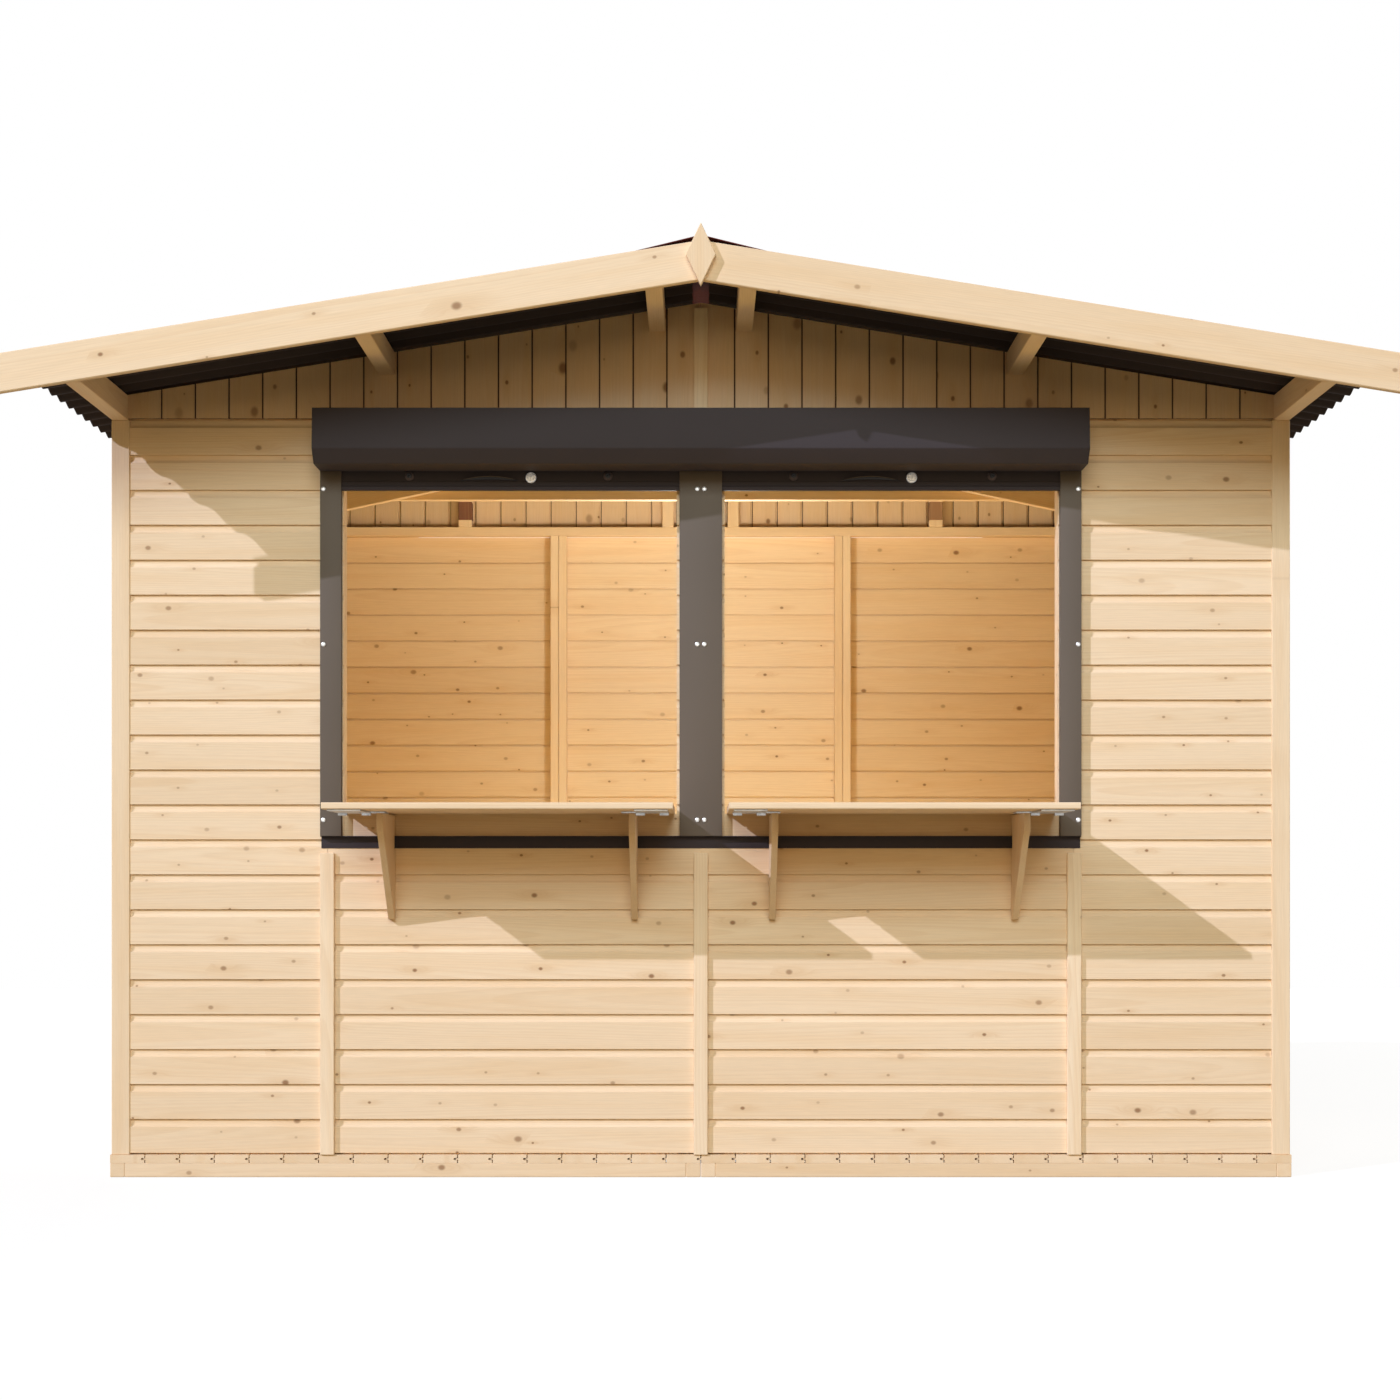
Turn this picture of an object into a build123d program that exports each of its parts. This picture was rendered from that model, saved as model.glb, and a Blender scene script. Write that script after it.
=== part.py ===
"""Wooden market stall with two shuttered hatches, counters and a corrugated saddle roof.

Millimetres. The front faces -Y, +X is to the right, +Z is up, and the origin lies on the ground
under the middle of the stall.
"""
import os
from math import cos, radians, sin, tan

from build123d import *

os.makedirs("parts", exist_ok=True)

# Walls: horizontal boards on a timber frame, in prefabricated panels
wall_width = 3000.0         # over the corner trims
wall_depth = 1966.0         # over the corner trims
board_cover = 89.05         # visible height of one wall board
board_rows = 21
cladding = 16.0             # thickness of the wall boards
stud_depth = 40.0           # frame timber, across the wall
stud_width = 36.0           # frame timber, along the wall
back_stud_width = 27.0
trim_leg = 46.0             # face width of a corner trim
trim_proud = 3.0            # how far a trim stands out past the boards
panel_gap = 1.0             # joint between neighbouring panels
back_joint = 483.0          # panel joint of the back wall, from the middle
batten_width = 36.0         # cover battens over the panel joints
batten_thickness = 12.0
batten_gap = 12.0           # below the shutter sill

# Base and floor: two modules side by side
base_proud = 3.0            # how far the base stands out past the trims
bearer_width = 37.0
bearer_height = 36.0
floor_rail_thickness = 28.0
floor_rails_per_module = 4
floor_thickness = 21.0

# Hatches cut through the front wall
mullion_half = 61.0         # half of the post between the two hatches
hatch_width = 849.0
hatch_height = 876.0
hatch_head_drop = 127.05    # head of a hatch below the wall top
jamb_width = 40.0           # from a hatch to the panel joint beside it
hatch_rail_height = 36.0

# Roof
roof_pitch = 9.13           # degrees
ridge_rise = 299.0          # underside of the roof at the ridge, above the wall top
gable_overhang = 436.0      # from the boards to the back of the bargeboards
eave_overhang = 121.0       # from the corner trims to the edge of the sheets
purlin_width = 41.0
purlin_height = 55.0
ridge_purlin_x = 111.0
mid_purlin_x = 800.0
notch_clearance = 0.5       # beside a purlin in its gable notch
nominal_wave_pitch = 76.0   # corrugated sheet
wave_height = 15.0
sheet_thickness = 3.0
sheet_ridge_gap = 20.0      # from the middle to the upper end of a sheet
seat_clearance = 0.2        # under and beside curved sheet
cap_half_width = 325.0      # ridge cap
cap_rise = 46.0             # inside of the cap at the ridge, above the purlin plane
cap_thickness = 2.0
cap_bend_radius = 30.0
barge_height = 93.0         # plumb height of a bargeboard
barge_rise = 30.0           # top of the bargeboards above the purlin plane
barge_thickness = 19.0
barge_end_x = 1690.0
finial_width = 70.0
finial_height = 147.0
finial_drop = 37.0          # middle of the finial below the top of the bargeboards
finial_thickness = 18.0

# Gable frames
gable_rail_height = 30.0
ridge_post_width = 38.0
mid_post_width = 46.0
mid_post_height = 24.0

# Truss in the middle of the stall
truss_thickness = 25.0
rafter_foot_height = 160.0  # plumb depth of a rafter at the wall
rafter_head_height = 88.0   # plumb depth of a rafter at the ridge
tie_half_length = 1000.0
tie_drop = 36.0             # underside of the tie below the wall top
tie_height = 95.0

# Roller-shutter set on the front
box_lap = 16.0              # past the panel joints on both sides
box_head_lap = 6.0          # underside of the box below the head of the hatches
box_height = 136.0
box_top_depth = 141.0
box_belly_depth = 147.0
box_belly_drop = 102.0      # from the top down to the fold, the deepest point
box_foot_depth = 118.0
box_skin = 2.0
box_end_thickness = 3.0
guide_width = 53.5
guide_depth = 22.0
guide_slot_depth = 35.0
sill_face_height = 31.0     # shutter sill angle
sill_ledge_depth = 18.0
sill_skin = 2.0
sill_drop = 56.0            # top of the sill angle below the hatch sill
slat_thickness = 8.0
slat_stand_off = 7.0        # back of the slats in front of the boards
slat_engagement = 18.0      # how far the slats reach into the guides
slat_show = 48.5            # of the end slats, below the box
slat_tail = 46.0            # of the end slats, inside the box
slat_foot_height = 12.0     # thicker lip along the lower edge
slat_foot_proud = 3.0
slat_slot_clearance = 0.3
box_slot_clearance = 4.0
stop_radius = 6.5           # rubber stops on the end slat
stop_length = 12.0
stop_offset = 252.0
stop_shift = 4.5            # of each pair of stops, outwards from the middle of its hatch
stop_drop = 12.0            # fittings below the underside of the box
lock_radius = 14.5
lock_length = 5.0
lock_core_radius = 7.0
lock_core_length = 2.0
lock_offset = 52.0
lock_drop = 16.0
pull_drop = 24.0
pull_length = 146.0
pull_crown = 9.0
pull_hollow = 3.0
pull_depth = 8.0
pull_offset = -53.5

# Counters
counter_inner_clearance = 5.8   # beside the post between the hatches
counter_outer_clearance = 10.0
counter_overhang = 400.0    # in front of the boards
counter_tail = 50.0         # over the hatch sill
counter_thickness = 16.0
counter_edge_radius = 3.0
bracket_thickness = 16.0
bracket_left_inset = 114.6  # middle of a bracket from the end of its counter
bracket_right_inset = 101.6
bracket_depth = 225.0
bracket_height = 264.0
bracket_foot_depth = 18.0
bracket_lip_height = 49.0
bracket_lip_step = 10.0
bracket_notch_clearance = 1.0
catch_thickness = 4.0       # metal catch between bracket and counter
catch_inset = 12.0          # from the end of the counter
catch_body_width = 80.0
catch_body_depth = 160.0
catch_front_margin = 12.0   # behind the front edge of the counter
catch_tongue_reach = 36.0
catch_tongue_depth = 60.0
catch_nub_width = 22.0
catch_nub_height = 6.0
catch_nub_depth = 16.0

# Cuts run this far past what they cut
overrun = 5.0

# Places worked out from the sizes above
floor_top = bearer_height + floor_thickness
wall_top = floor_top + board_rows * board_cover
half_width = wall_width / 2
half_depth = wall_depth / 2
face_x = half_width - trim_proud
face_y = half_depth - trim_proud
lining_x = face_x - cladding
lining_y = face_y - cladding
room_x = lining_x - stud_depth
room_y = lining_y - stud_depth
base_x = half_width + base_proud
base_y = half_depth + base_proud
slope = tan(radians(roof_pitch))
barge_inner_y = face_y + gable_overhang
eave_purlin_x = half_width - purlin_width / 2
gable_half = half_width - purlin_width
crest_rise = (wave_height + sheet_thickness + seat_clearance) / cos(radians(roof_pitch))
hatch_outer = mullion_half + hatch_width
front_joint = hatch_outer + jamb_width
head_height = wall_top - hatch_head_drop
sill_height = head_height - hatch_height
box_half_length = front_joint + box_lap
box_foot_height = head_height - box_head_lap
box_top_height = box_foot_height + box_height
slat_bottom_height = box_foot_height - slat_show
slat_top_height = box_foot_height + slat_tail
counter_inner_x = mullion_half + counter_inner_clearance
counter_outer_x = hatch_outer - counter_outer_clearance
half_counter = (counter_outer_x - counter_inner_x) / 2
sill_angle_top = sill_height - sill_drop
sill_angle_foot = sill_angle_top - sill_face_height
hatch_middle = (counter_inner_x + counter_outer_x) / 2
slat_front_y = -face_y - slat_stand_off - slat_thickness
slat_back_y = -face_y - slat_stand_off
guide_outer_x = box_half_length - guide_width
sides = {"left": -1, "right": 1}
ends = {"front": -1, "back": 1}


def roof_line(x):
    """Height of the purlin plane, the underside of the roof, at x."""
    return wall_top + ridge_rise - slope * abs(x)


def purlin_foot(x):
    """Height of the underside of a purlin whose middle is at x."""
    return roof_line(x) - purlin_height


def span(side, near, far):
    """Two coordinates on one side of the middle, low one first."""
    return tuple(sorted((side * near, side * far)))


def slab(x_span, y_span, z_span, mode=Mode.ADD):
    """Add or cut a rectangular piece between pairs of coordinates."""
    spans = (x_span, y_span, z_span)
    with Locations(tuple((low + high) / 2 for low, high in spans)):
        Box(*(high - low for low, high in spans), mode=mode)


def save(piece, name):
    """Label a finished piece and write it out."""
    piece.part.label = name
    export_step(piece.part, f"parts/{name}.step")


# Base and floor

with BuildPart() as floor_bearers:
    for side in sides.values():
        for near in (panel_gap / 2, base_x - bearer_width):
            slab(span(side, near, near + bearer_width), (-base_y, base_y), (0, bearer_height))
save(floor_bearers, "floor_bearers")

with BuildPart() as floor_rails:
    rail_step = (2 * base_y - floor_rail_thickness) / (floor_rails_per_module - 1)
    for side in sides.values():
        module = span(side, panel_gap / 2 + bearer_width, base_x - bearer_width)
        for row in range(floor_rails_per_module):
            rail_y = -base_y + row * rail_step
            slab(module, (rail_y, rail_y + floor_rail_thickness), (0, bearer_height))
save(floor_rails, "floor_rails")

with BuildPart() as floor_deck:
    for side in sides.values():
        slab(span(side, panel_gap / 2, base_x), (-base_y, base_y), (bearer_height, floor_top))
save(floor_deck, "floor_deck")

# Front wall

for name, side in sides.items():
    with BuildPart() as front_panel:
        end_span = span(side, front_joint + panel_gap / 2, half_width - trim_leg)
        slab(end_span, (-face_y, -lining_y), (floor_top, wall_top))
    save(front_panel, f"front_panel_{name}")

    with BuildPart() as hatch_panel:
        panel_span = span(side, panel_gap / 2, front_joint - panel_gap / 2)
        slab(panel_span, (-face_y, -lining_y), (floor_top, wall_top))
        hatch_span = span(side, mullion_half, hatch_outer)
        cut_y = (-face_y - overrun, -lining_y + overrun)
        slab(hatch_span, cut_y, (sill_height, head_height), mode=Mode.SUBTRACT)
    save(hatch_panel, f"hatch_panel_{name}")

with BuildPart() as front_studs:
    for side in sides.values():
        stud_spans = (
            (panel_gap / 2, mullion_half),
            (hatch_outer, front_joint - panel_gap / 2),
            (front_joint + panel_gap / 2, front_joint + panel_gap / 2 + stud_width),
            (room_x, lining_x),
        )
        for near, far in stud_spans:
            slab(span(side, near, far), (-lining_y, -room_y), (floor_top, wall_top))
save(front_studs, "front_studs")

with BuildPart() as hatch_rails:
    for side in sides.values():
        rail_span = span(side, mullion_half, hatch_outer)
        for rail_foot in (sill_height - hatch_rail_height, head_height):
            rail_heights = (rail_foot, rail_foot + hatch_rail_height)
            slab(rail_span, (-lining_y, -room_y), rail_heights)
save(hatch_rails, "hatch_rails")

# Back wall

with BuildPart() as back_panel_middle:
    middle = back_joint - panel_gap / 2
    slab((-middle, middle), (lining_y, face_y), (floor_top, wall_top))
save(back_panel_middle, "back_panel_middle")

for name, side in sides.items():
    with BuildPart() as back_panel:
        outer_span = span(side, back_joint + panel_gap / 2, half_width - trim_leg)
        slab(outer_span, (lining_y, face_y), (floor_top, wall_top))
    save(back_panel, f"back_panel_{name}")

with BuildPart() as back_studs:
    for side in sides.values():
        inner_edge = back_joint - panel_gap / 2
        outer_edge = back_joint + panel_gap / 2
        stud_spans = (
            (inner_edge - back_stud_width, inner_edge),
            (outer_edge, outer_edge + back_stud_width),
            (room_x, lining_x),
        )
        for near, far in stud_spans:
            slab(span(side, near, far), (room_y, lining_y), (floor_top, wall_top))
save(back_studs, "back_studs")

# Side walls, each with a stud that carries the truss

for name, side in sides.items():
    with BuildPart() as side_wall:
        along = half_depth - trim_leg
        slab(span(side, lining_x, face_x), (-along, along), (floor_top, wall_top))
    save(side_wall, f"side_wall_{name}")

with BuildPart() as side_studs:
    for side in sides.values():
        slab(span(side, room_x, lining_x), (0, stud_width), (floor_top, wall_top))
save(side_studs, "side_studs")

# Corner trims and cover battens

with BuildPart() as corner_trims:
    for side in sides.values():
        for end in ends.values():
            trim_heights = (floor_top, wall_top)
            slab(span(side, half_width - trim_leg, half_width), span(end, lining_y, half_depth), trim_heights)
            slab(span(side, lining_x, half_width), span(end, half_depth - trim_leg, half_depth), trim_heights)
save(corner_trims, "corner_trims")

with BuildPart() as front_battens:
    batten_top = sill_angle_foot - batten_gap
    for batten_x in (-front_joint, 0, front_joint):
        batten_span = (batten_x - batten_width / 2, batten_x + batten_width / 2)
        slab(batten_span, (-face_y - batten_thickness, -face_y), (floor_top, batten_top))
save(front_battens, "front_battens")

with BuildPart() as back_battens:
    for batten_x in (-back_joint, back_joint):
        batten_span = (batten_x - batten_width / 2, batten_x + batten_width / 2)
        slab(batten_span, (face_y, face_y + batten_thickness), (floor_top, wall_top))
save(back_battens, "back_battens")

# Gables: two boarded halves at each end, notched for the purlins

for end_name, end in ends.items():
    for side_name, side in sides.items():
        with BuildPart() as gable:
            with BuildSketch(Plane.XZ.offset(-span(end, lining_y, face_y)[1])):
                with BuildLine():
                    Polyline(
                        (side * panel_gap / 2, wall_top),
                        (side * gable_half, wall_top),
                        (side * gable_half, roof_line(gable_half)),
                        (side * panel_gap / 2, roof_line(panel_gap / 2)),
                        close=True,
                    )
                make_face()
            extrude(amount=cladding)
            cut_y = span(end, lining_y - overrun, face_y + overrun)
            notch_half = purlin_width / 2 + notch_clearance
            for purlin_x in (ridge_purlin_x, mid_purlin_x):
                notch = span(side, purlin_x - notch_half, purlin_x + notch_half)
                notch_top = roof_line(purlin_x - notch_half) + overrun
                slab(notch, cut_y, (purlin_foot(purlin_x), notch_top), mode=Mode.SUBTRACT)
        save(gable, f"{end_name}_gable_{side_name}")

with BuildPart() as gable_battens:
    batten_foot = max(wall_top, box_top_height) + notch_clearance
    batten_top = roof_line(batten_width / 2) - batten_gap
    for end in ends.values():
        batten_y = span(end, face_y, face_y + batten_thickness)
        slab((-batten_width / 2, batten_width / 2), batten_y, (batten_foot, batten_top))
save(gable_battens, "gable_battens")

with BuildPart() as gable_rails:
    for end in ends.values():
        rail_heights = (wall_top, wall_top + gable_rail_height)
        slab((-gable_half, gable_half), span(end, room_y, lining_y), rail_heights)
save(gable_rails, "gable_rails")

post_foot = wall_top + gable_rail_height
with BuildPart() as gable_posts:
    for end in ends.values():
        for side in sides.values():
            ridge_post = span(side, ridge_purlin_x - ridge_post_width / 2, ridge_purlin_x + ridge_post_width / 2)
            mid_post = span(side, mid_purlin_x - mid_post_width / 2, mid_purlin_x + mid_post_width / 2)
            post_y = span(end, room_y, lining_y)
            slab(ridge_post, post_y, (post_foot, purlin_foot(ridge_purlin_x)))
            slab(mid_post, post_y, (post_foot, post_foot + mid_post_height))
save(gable_posts, "gable_posts")

with BuildPart() as purlin_blocks:
    for end in ends.values():
        for side in sides.values():
            block = span(side, mid_purlin_x - mid_post_width / 2, mid_purlin_x + mid_post_width / 2)
            block_heights = (post_foot + mid_post_height, purlin_foot(mid_purlin_x))
            slab(block, span(end, room_y, lining_y), block_heights)
save(purlin_blocks, "purlin_blocks")

# Purlins, with tops cut to the roof pitch, from bargeboard to bargeboard

with BuildPart() as purlins:
    with BuildSketch(Plane.XZ.offset(-barge_inner_y)):
        purlin_feet = {
            ridge_purlin_x: purlin_foot(ridge_purlin_x),
            mid_purlin_x: purlin_foot(mid_purlin_x),
            eave_purlin_x: wall_top,
        }
        for side in sides.values():
            for purlin_x, foot in purlin_feet.items():
                inner = purlin_x - purlin_width / 2
                outer = purlin_x + purlin_width / 2
                with BuildLine():
                    Polyline(
                        (side * inner, foot),
                        (side * outer, foot),
                        (side * outer, roof_line(outer)),
                        (side * inner, roof_line(inner)),
                        close=True,
                    )
                make_face()
    extrude(amount=2 * barge_inner_y)
save(purlins, "purlins")

# Truss: rafters in front, tie lapped behind them

rafter_drop = purlin_height + slope * purlin_width / 2 + seat_clearance
rafter_end = gable_half - seat_clearance
rafter_start = panel_gap / 2
with BuildPart() as truss_rafters:
    with BuildSketch(Plane.XZ):
        for side in sides.values():
            with BuildLine():
                Polyline(
                    (side * rafter_start, roof_line(rafter_start) - rafter_drop),
                    (side * rafter_end, roof_line(rafter_end) - rafter_drop),
                    (side * rafter_end, roof_line(rafter_end) - rafter_drop - rafter_foot_height),
                    (side * rafter_start, roof_line(rafter_start) - rafter_drop - rafter_head_height),
                    close=True,
                )
            make_face()
    extrude(amount=truss_thickness)
save(truss_rafters, "truss_rafters")

with BuildPart() as truss_tie:
    tie_foot = wall_top - tie_drop
    tie_heights = (tie_foot, tie_foot + tie_height)
    slab((-tie_half_length, tie_half_length), (0, truss_thickness), tie_heights)
save(truss_tie, "truss_tie")

# Corrugated sheets: one row of waves swept down each slope

sheet_run = 2 * (barge_inner_y - seat_clearance)
wave_count = round(sheet_run / nominal_wave_pitch)
wave_pitch = sheet_run / wave_count
sheet_length = (half_width + eave_overhang - sheet_ridge_gap) / cos(radians(roof_pitch))


def wave_edge(level):
    """Draw one edge of the corrugated section, a chain of arcs at the given level."""
    for half_wave in range(2 * wave_count):
        start = -sheet_run / 2 + half_wave * wave_pitch / 2
        swing = wave_height / 2 if half_wave % 2 else -wave_height / 2
        ThreePointArc(
            (start, level),
            (start + wave_pitch / 4, level + swing),
            (start + wave_pitch / 2, level),
        )


for name, side in sides.items():
    upper_end = (side * sheet_ridge_gap, 0, roof_line(sheet_ridge_gap))
    down_slope = (side * cos(radians(roof_pitch)), 0, -sin(radians(roof_pitch)))
    sheet_plane = Plane(origin=upper_end, x_dir=(0, side, 0), z_dir=down_slope)
    lower_level = seat_clearance + wave_height / 2
    upper_level = lower_level + sheet_thickness
    with BuildPart() as roof_sheet:
        with BuildSketch(sheet_plane):
            with BuildLine():
                wave_edge(lower_level)
                wave_edge(upper_level)
                for edge_y in (-sheet_run / 2, sheet_run / 2):
                    Line((edge_y, lower_level), (edge_y, upper_level))
            make_face()
        extrude(amount=sheet_length)
    save(roof_sheet, f"roof_sheet_{name}")

with BuildPart() as ridge_cap:
    with BuildSketch(Plane.XZ.offset(-barge_inner_y + seat_clearance)):
        wing_foot = roof_line(cap_half_width) + crest_rise + seat_clearance
        cap_peak = roof_line(0) + cap_rise
        with BuildLine():
            Polyline(
                (-cap_half_width, wing_foot),
                (0, cap_peak),
                (cap_half_width, wing_foot),
                (cap_half_width, wing_foot + cap_thickness),
                (0, cap_peak + cap_thickness),
                (-cap_half_width, wing_foot + cap_thickness),
                close=True,
            )
        make_face()
        bend = [corner for corner in vertices() if abs(corner.X) < cap_thickness]
        fillet(bend, radius=cap_bend_radius)
    extrude(amount=2 * (barge_inner_y - seat_clearance))
save(ridge_cap, "ridge_cap")

# Bargeboards and finials at both ends

for end_name, end in ends.items():
    with BuildPart() as bargeboards:
        with BuildSketch(Plane.XZ.offset(-span(end, barge_inner_y, barge_inner_y + barge_thickness)[1])):
            for side in sides.values():
                barge_top = roof_line(panel_gap / 2) + barge_rise
                barge_tip = roof_line(barge_end_x) + barge_rise
                with BuildLine():
                    Polyline(
                        (side * panel_gap / 2, barge_top),
                        (side * barge_end_x, barge_tip),
                        (side * barge_end_x, barge_tip - barge_height),
                        (side * panel_gap / 2, barge_top - barge_height),
                        close=True,
                    )
                make_face()
        extrude(amount=barge_thickness)
    save(bargeboards, f"{end_name}_bargeboards")

    with BuildPart() as finial:
        finial_back = barge_inner_y + barge_thickness
        finial_middle = roof_line(0) + barge_rise - finial_drop
        with BuildSketch(Plane.XZ.offset(-span(end, finial_back, finial_back + finial_thickness)[1])):
            with BuildLine():
                Polyline(
                    (0, finial_middle - finial_height / 2),
                    (finial_width / 2, finial_middle),
                    (0, finial_middle + finial_height / 2),
                    (-finial_width / 2, finial_middle),
                    close=True,
                )
            make_face()
        extrude(amount=finial_thickness)
    save(finial, f"{end_name}_finial")

# Roller-shutter box: a folded sheet housing with slots for the curtains

slat_spans = [
    span(side, guide_width + panel_gap / 2 - slat_engagement, guide_outer_x + slat_engagement)
    for side in sides.values()
]

with BuildPart() as shutter_box:
    with BuildSketch(Plane.YZ.offset(-box_half_length)) as box_section:
        with BuildLine():
            Polyline(
                (-face_y - box_foot_depth, box_foot_height),
                (-face_y, box_foot_height),
                (-face_y, box_top_height),
                (-face_y - box_top_depth, box_top_height),
                (-face_y - box_belly_depth, box_top_height - box_belly_drop),
                close=True,
            )
        make_face()
    extrude(amount=2 * box_half_length)
    with BuildSketch(Plane.YZ.offset(-box_half_length + box_end_thickness)):
        add(box_section.sketch_local)
        offset(amount=-box_skin, mode=Mode.REPLACE)
    extrude(amount=2 * (box_half_length - box_end_thickness), mode=Mode.SUBTRACT)
    for low, high in slat_spans:
        slab(
            (low - box_slot_clearance, high + box_slot_clearance),
            (slat_front_y - slat_foot_proud - box_slot_clearance, slat_back_y + box_slot_clearance),
            (box_foot_height - overrun, box_foot_height + box_skin + overrun),
            mode=Mode.SUBTRACT,
        )
save(shutter_box, "shutter_box")

with BuildPart() as guide_rails:
    guide_y = (-face_y - guide_depth, -face_y)
    guide_heights = (sill_angle_top, box_foot_height)
    slot_y = (slat_front_y - slat_slot_clearance, slat_back_y + slat_slot_clearance)
    slot_heights = (sill_angle_top - overrun, box_foot_height + overrun)
    for side in sides.values():
        inner_mouth = panel_gap / 2 + guide_width
        slab(span(side, panel_gap / 2, inner_mouth), guide_y, guide_heights)
        slab(span(side, guide_outer_x, box_half_length), guide_y, guide_heights)
        inner_slot = span(side, inner_mouth - guide_slot_depth, inner_mouth + overrun)
        outer_slot = span(side, guide_outer_x - overrun, guide_outer_x + guide_slot_depth)
        for slot in (inner_slot, outer_slot):
            slab(slot, slot_y, slot_heights, mode=Mode.SUBTRACT)
save(guide_rails, "guide_rails")

with BuildPart() as shutter_sill:
    sill_span = (-box_half_length, box_half_length)
    slab(sill_span, (-face_y - sill_skin, -face_y), (sill_angle_foot, sill_angle_top))
    slab(sill_span, (-face_y - sill_ledge_depth, -face_y), (sill_angle_top - sill_skin, sill_angle_top))
save(shutter_sill, "shutter_sill")

# End slats of the rolled-up shutters and their fittings

with BuildPart() as end_slats:
    for side, slat_span in zip(sides.values(), slat_spans):
        slab(slat_span, (slat_front_y, slat_back_y), (slat_bottom_height, slat_top_height))
        foot_clearance = panel_gap
        foot_inner = panel_gap / 2 + guide_width + foot_clearance
        foot_span = span(side, foot_inner, guide_outer_x - foot_clearance)
        foot_heights = (slat_bottom_height, slat_bottom_height + slat_foot_height)
        slab(foot_span, (slat_front_y - slat_foot_proud, slat_front_y), foot_heights)
save(end_slats, "end_slats")

hatch_middles = [side * hatch_middle for side in sides.values()]

with BuildPart() as slat_stops:
    stop_places = [
        (middle + offset_x, slat_front_y - stop_length / 2, box_foot_height - stop_drop)
        for middle in (side * (hatch_middle + stop_shift) for side in sides.values())
        for offset_x in (-stop_offset, stop_offset)
    ]
    with Locations(*(Location(place, (90, 0, 0)) for place in stop_places)):
        Cylinder(stop_radius, stop_length)
save(slat_stops, "slat_stops")

with BuildPart() as slat_locks:
    for middle in hatch_middles:
        lock_height = box_foot_height - lock_drop
        rose_y = slat_front_y - lock_length / 2
        core_y = slat_front_y - lock_length - lock_core_length / 2
        with Locations(Location((middle + lock_offset, rose_y, lock_height), (90, 0, 0))):
            Cylinder(lock_radius, lock_length)
        with Locations(Location((middle + lock_offset, core_y, lock_height), (90, 0, 0))):
            Cylinder(lock_core_radius, lock_core_length)
save(slat_locks, "slat_locks")

with BuildPart() as slat_pulls:
    with BuildSketch(Plane.XZ.offset(-slat_front_y)):
        for middle in hatch_middles:
            pull_x = middle + pull_offset
            pull_z = box_foot_height - pull_drop
            with BuildLine():
                tips = [(pull_x + side * pull_length / 2, pull_z) for side in sides.values()]
                ThreePointArc(tips[0], (pull_x, pull_z + pull_crown), tips[1])
                ThreePointArc(tips[0], (pull_x, pull_z + pull_hollow), tips[1])
            make_face()
    extrude(amount=pull_depth)
save(slat_pulls, "slat_pulls")

# Counters, brackets and catches

with BuildPart() as counters:
    for side in sides.values():
        counter_y = (-face_y - counter_overhang, -face_y + counter_tail)
        counter_heights = (sill_height, sill_height + counter_thickness)
        slab(span(side, counter_inner_x, counter_outer_x), counter_y, counter_heights)
    front_edges = edges().filter_by(Axis.X).group_by(Axis.Y)[0]
    fillet(front_edges, radius=counter_edge_radius)
save(counters, "counters")

bracket_top = sill_height - catch_thickness
bracket_foot = bracket_top - bracket_height
bracket_middles = [
    middle + offset_x
    for middle in hatch_middles
    for offset_x in (bracket_left_inset - half_counter, half_counter - bracket_right_inset)
]

with BuildPart() as brackets:
    for bracket_x in bracket_middles:
        with BuildSketch(Plane.YZ.offset(bracket_x - bracket_thickness / 2)):
            lip_foot = bracket_top - bracket_lip_height
            with BuildLine():
                Polyline(
                    (-face_y, bracket_foot),
                    (-face_y, bracket_top),
                    (-face_y - bracket_depth, bracket_top),
                    (-face_y - bracket_depth, lip_foot),
                    (-face_y - bracket_depth + bracket_lip_step, lip_foot),
                    (-face_y - bracket_foot_depth, bracket_foot),
                    close=True,
                )
            make_face()
        extrude(amount=bracket_thickness)
    notch_y = (-face_y - sill_ledge_depth - bracket_notch_clearance, -face_y + overrun)
    notch_heights = (sill_angle_foot - bracket_notch_clearance, sill_angle_top + bracket_notch_clearance)
    notch_x = (-box_half_length, box_half_length)
    slab(notch_x, notch_y, notch_heights, mode=Mode.SUBTRACT)
save(brackets, "brackets")

with BuildPart() as catches:
    catch_heights = (bracket_top, sill_height)
    body_front = -face_y - counter_overhang + catch_front_margin
    tongue_front = -face_y - bracket_depth
    for middle in hatch_middles:
        for side in sides.values():
            body_far = half_counter - catch_inset
            body_near = body_far - catch_body_width
            tongue_near = body_near - catch_tongue_reach
            body = tuple(middle + x for x in span(side, body_near, body_far))
            tongue = tuple(middle + x for x in span(side, tongue_near, body_near))
            body_y = (body_front, body_front + catch_body_depth + catch_tongue_depth)
            slab(body, body_y, catch_heights)
            slab(tongue, (tongue_front, tongue_front + catch_tongue_depth), catch_heights)
            for nub_near in (body_near, body_far - catch_nub_width):
                nub = tuple(middle + x for x in span(side, nub_near, nub_near + catch_nub_width))
                nub_y = (tongue_front, tongue_front + catch_nub_depth)
                slab(nub, nub_y, (bracket_top - catch_nub_height, bracket_top))
save(catches, "catches")
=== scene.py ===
"""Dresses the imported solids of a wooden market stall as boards, timbers, sheets and fittings.

Metres. The front faces -Y, +X is to the right and +Z is up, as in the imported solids.
"""

import math
import random

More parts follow.
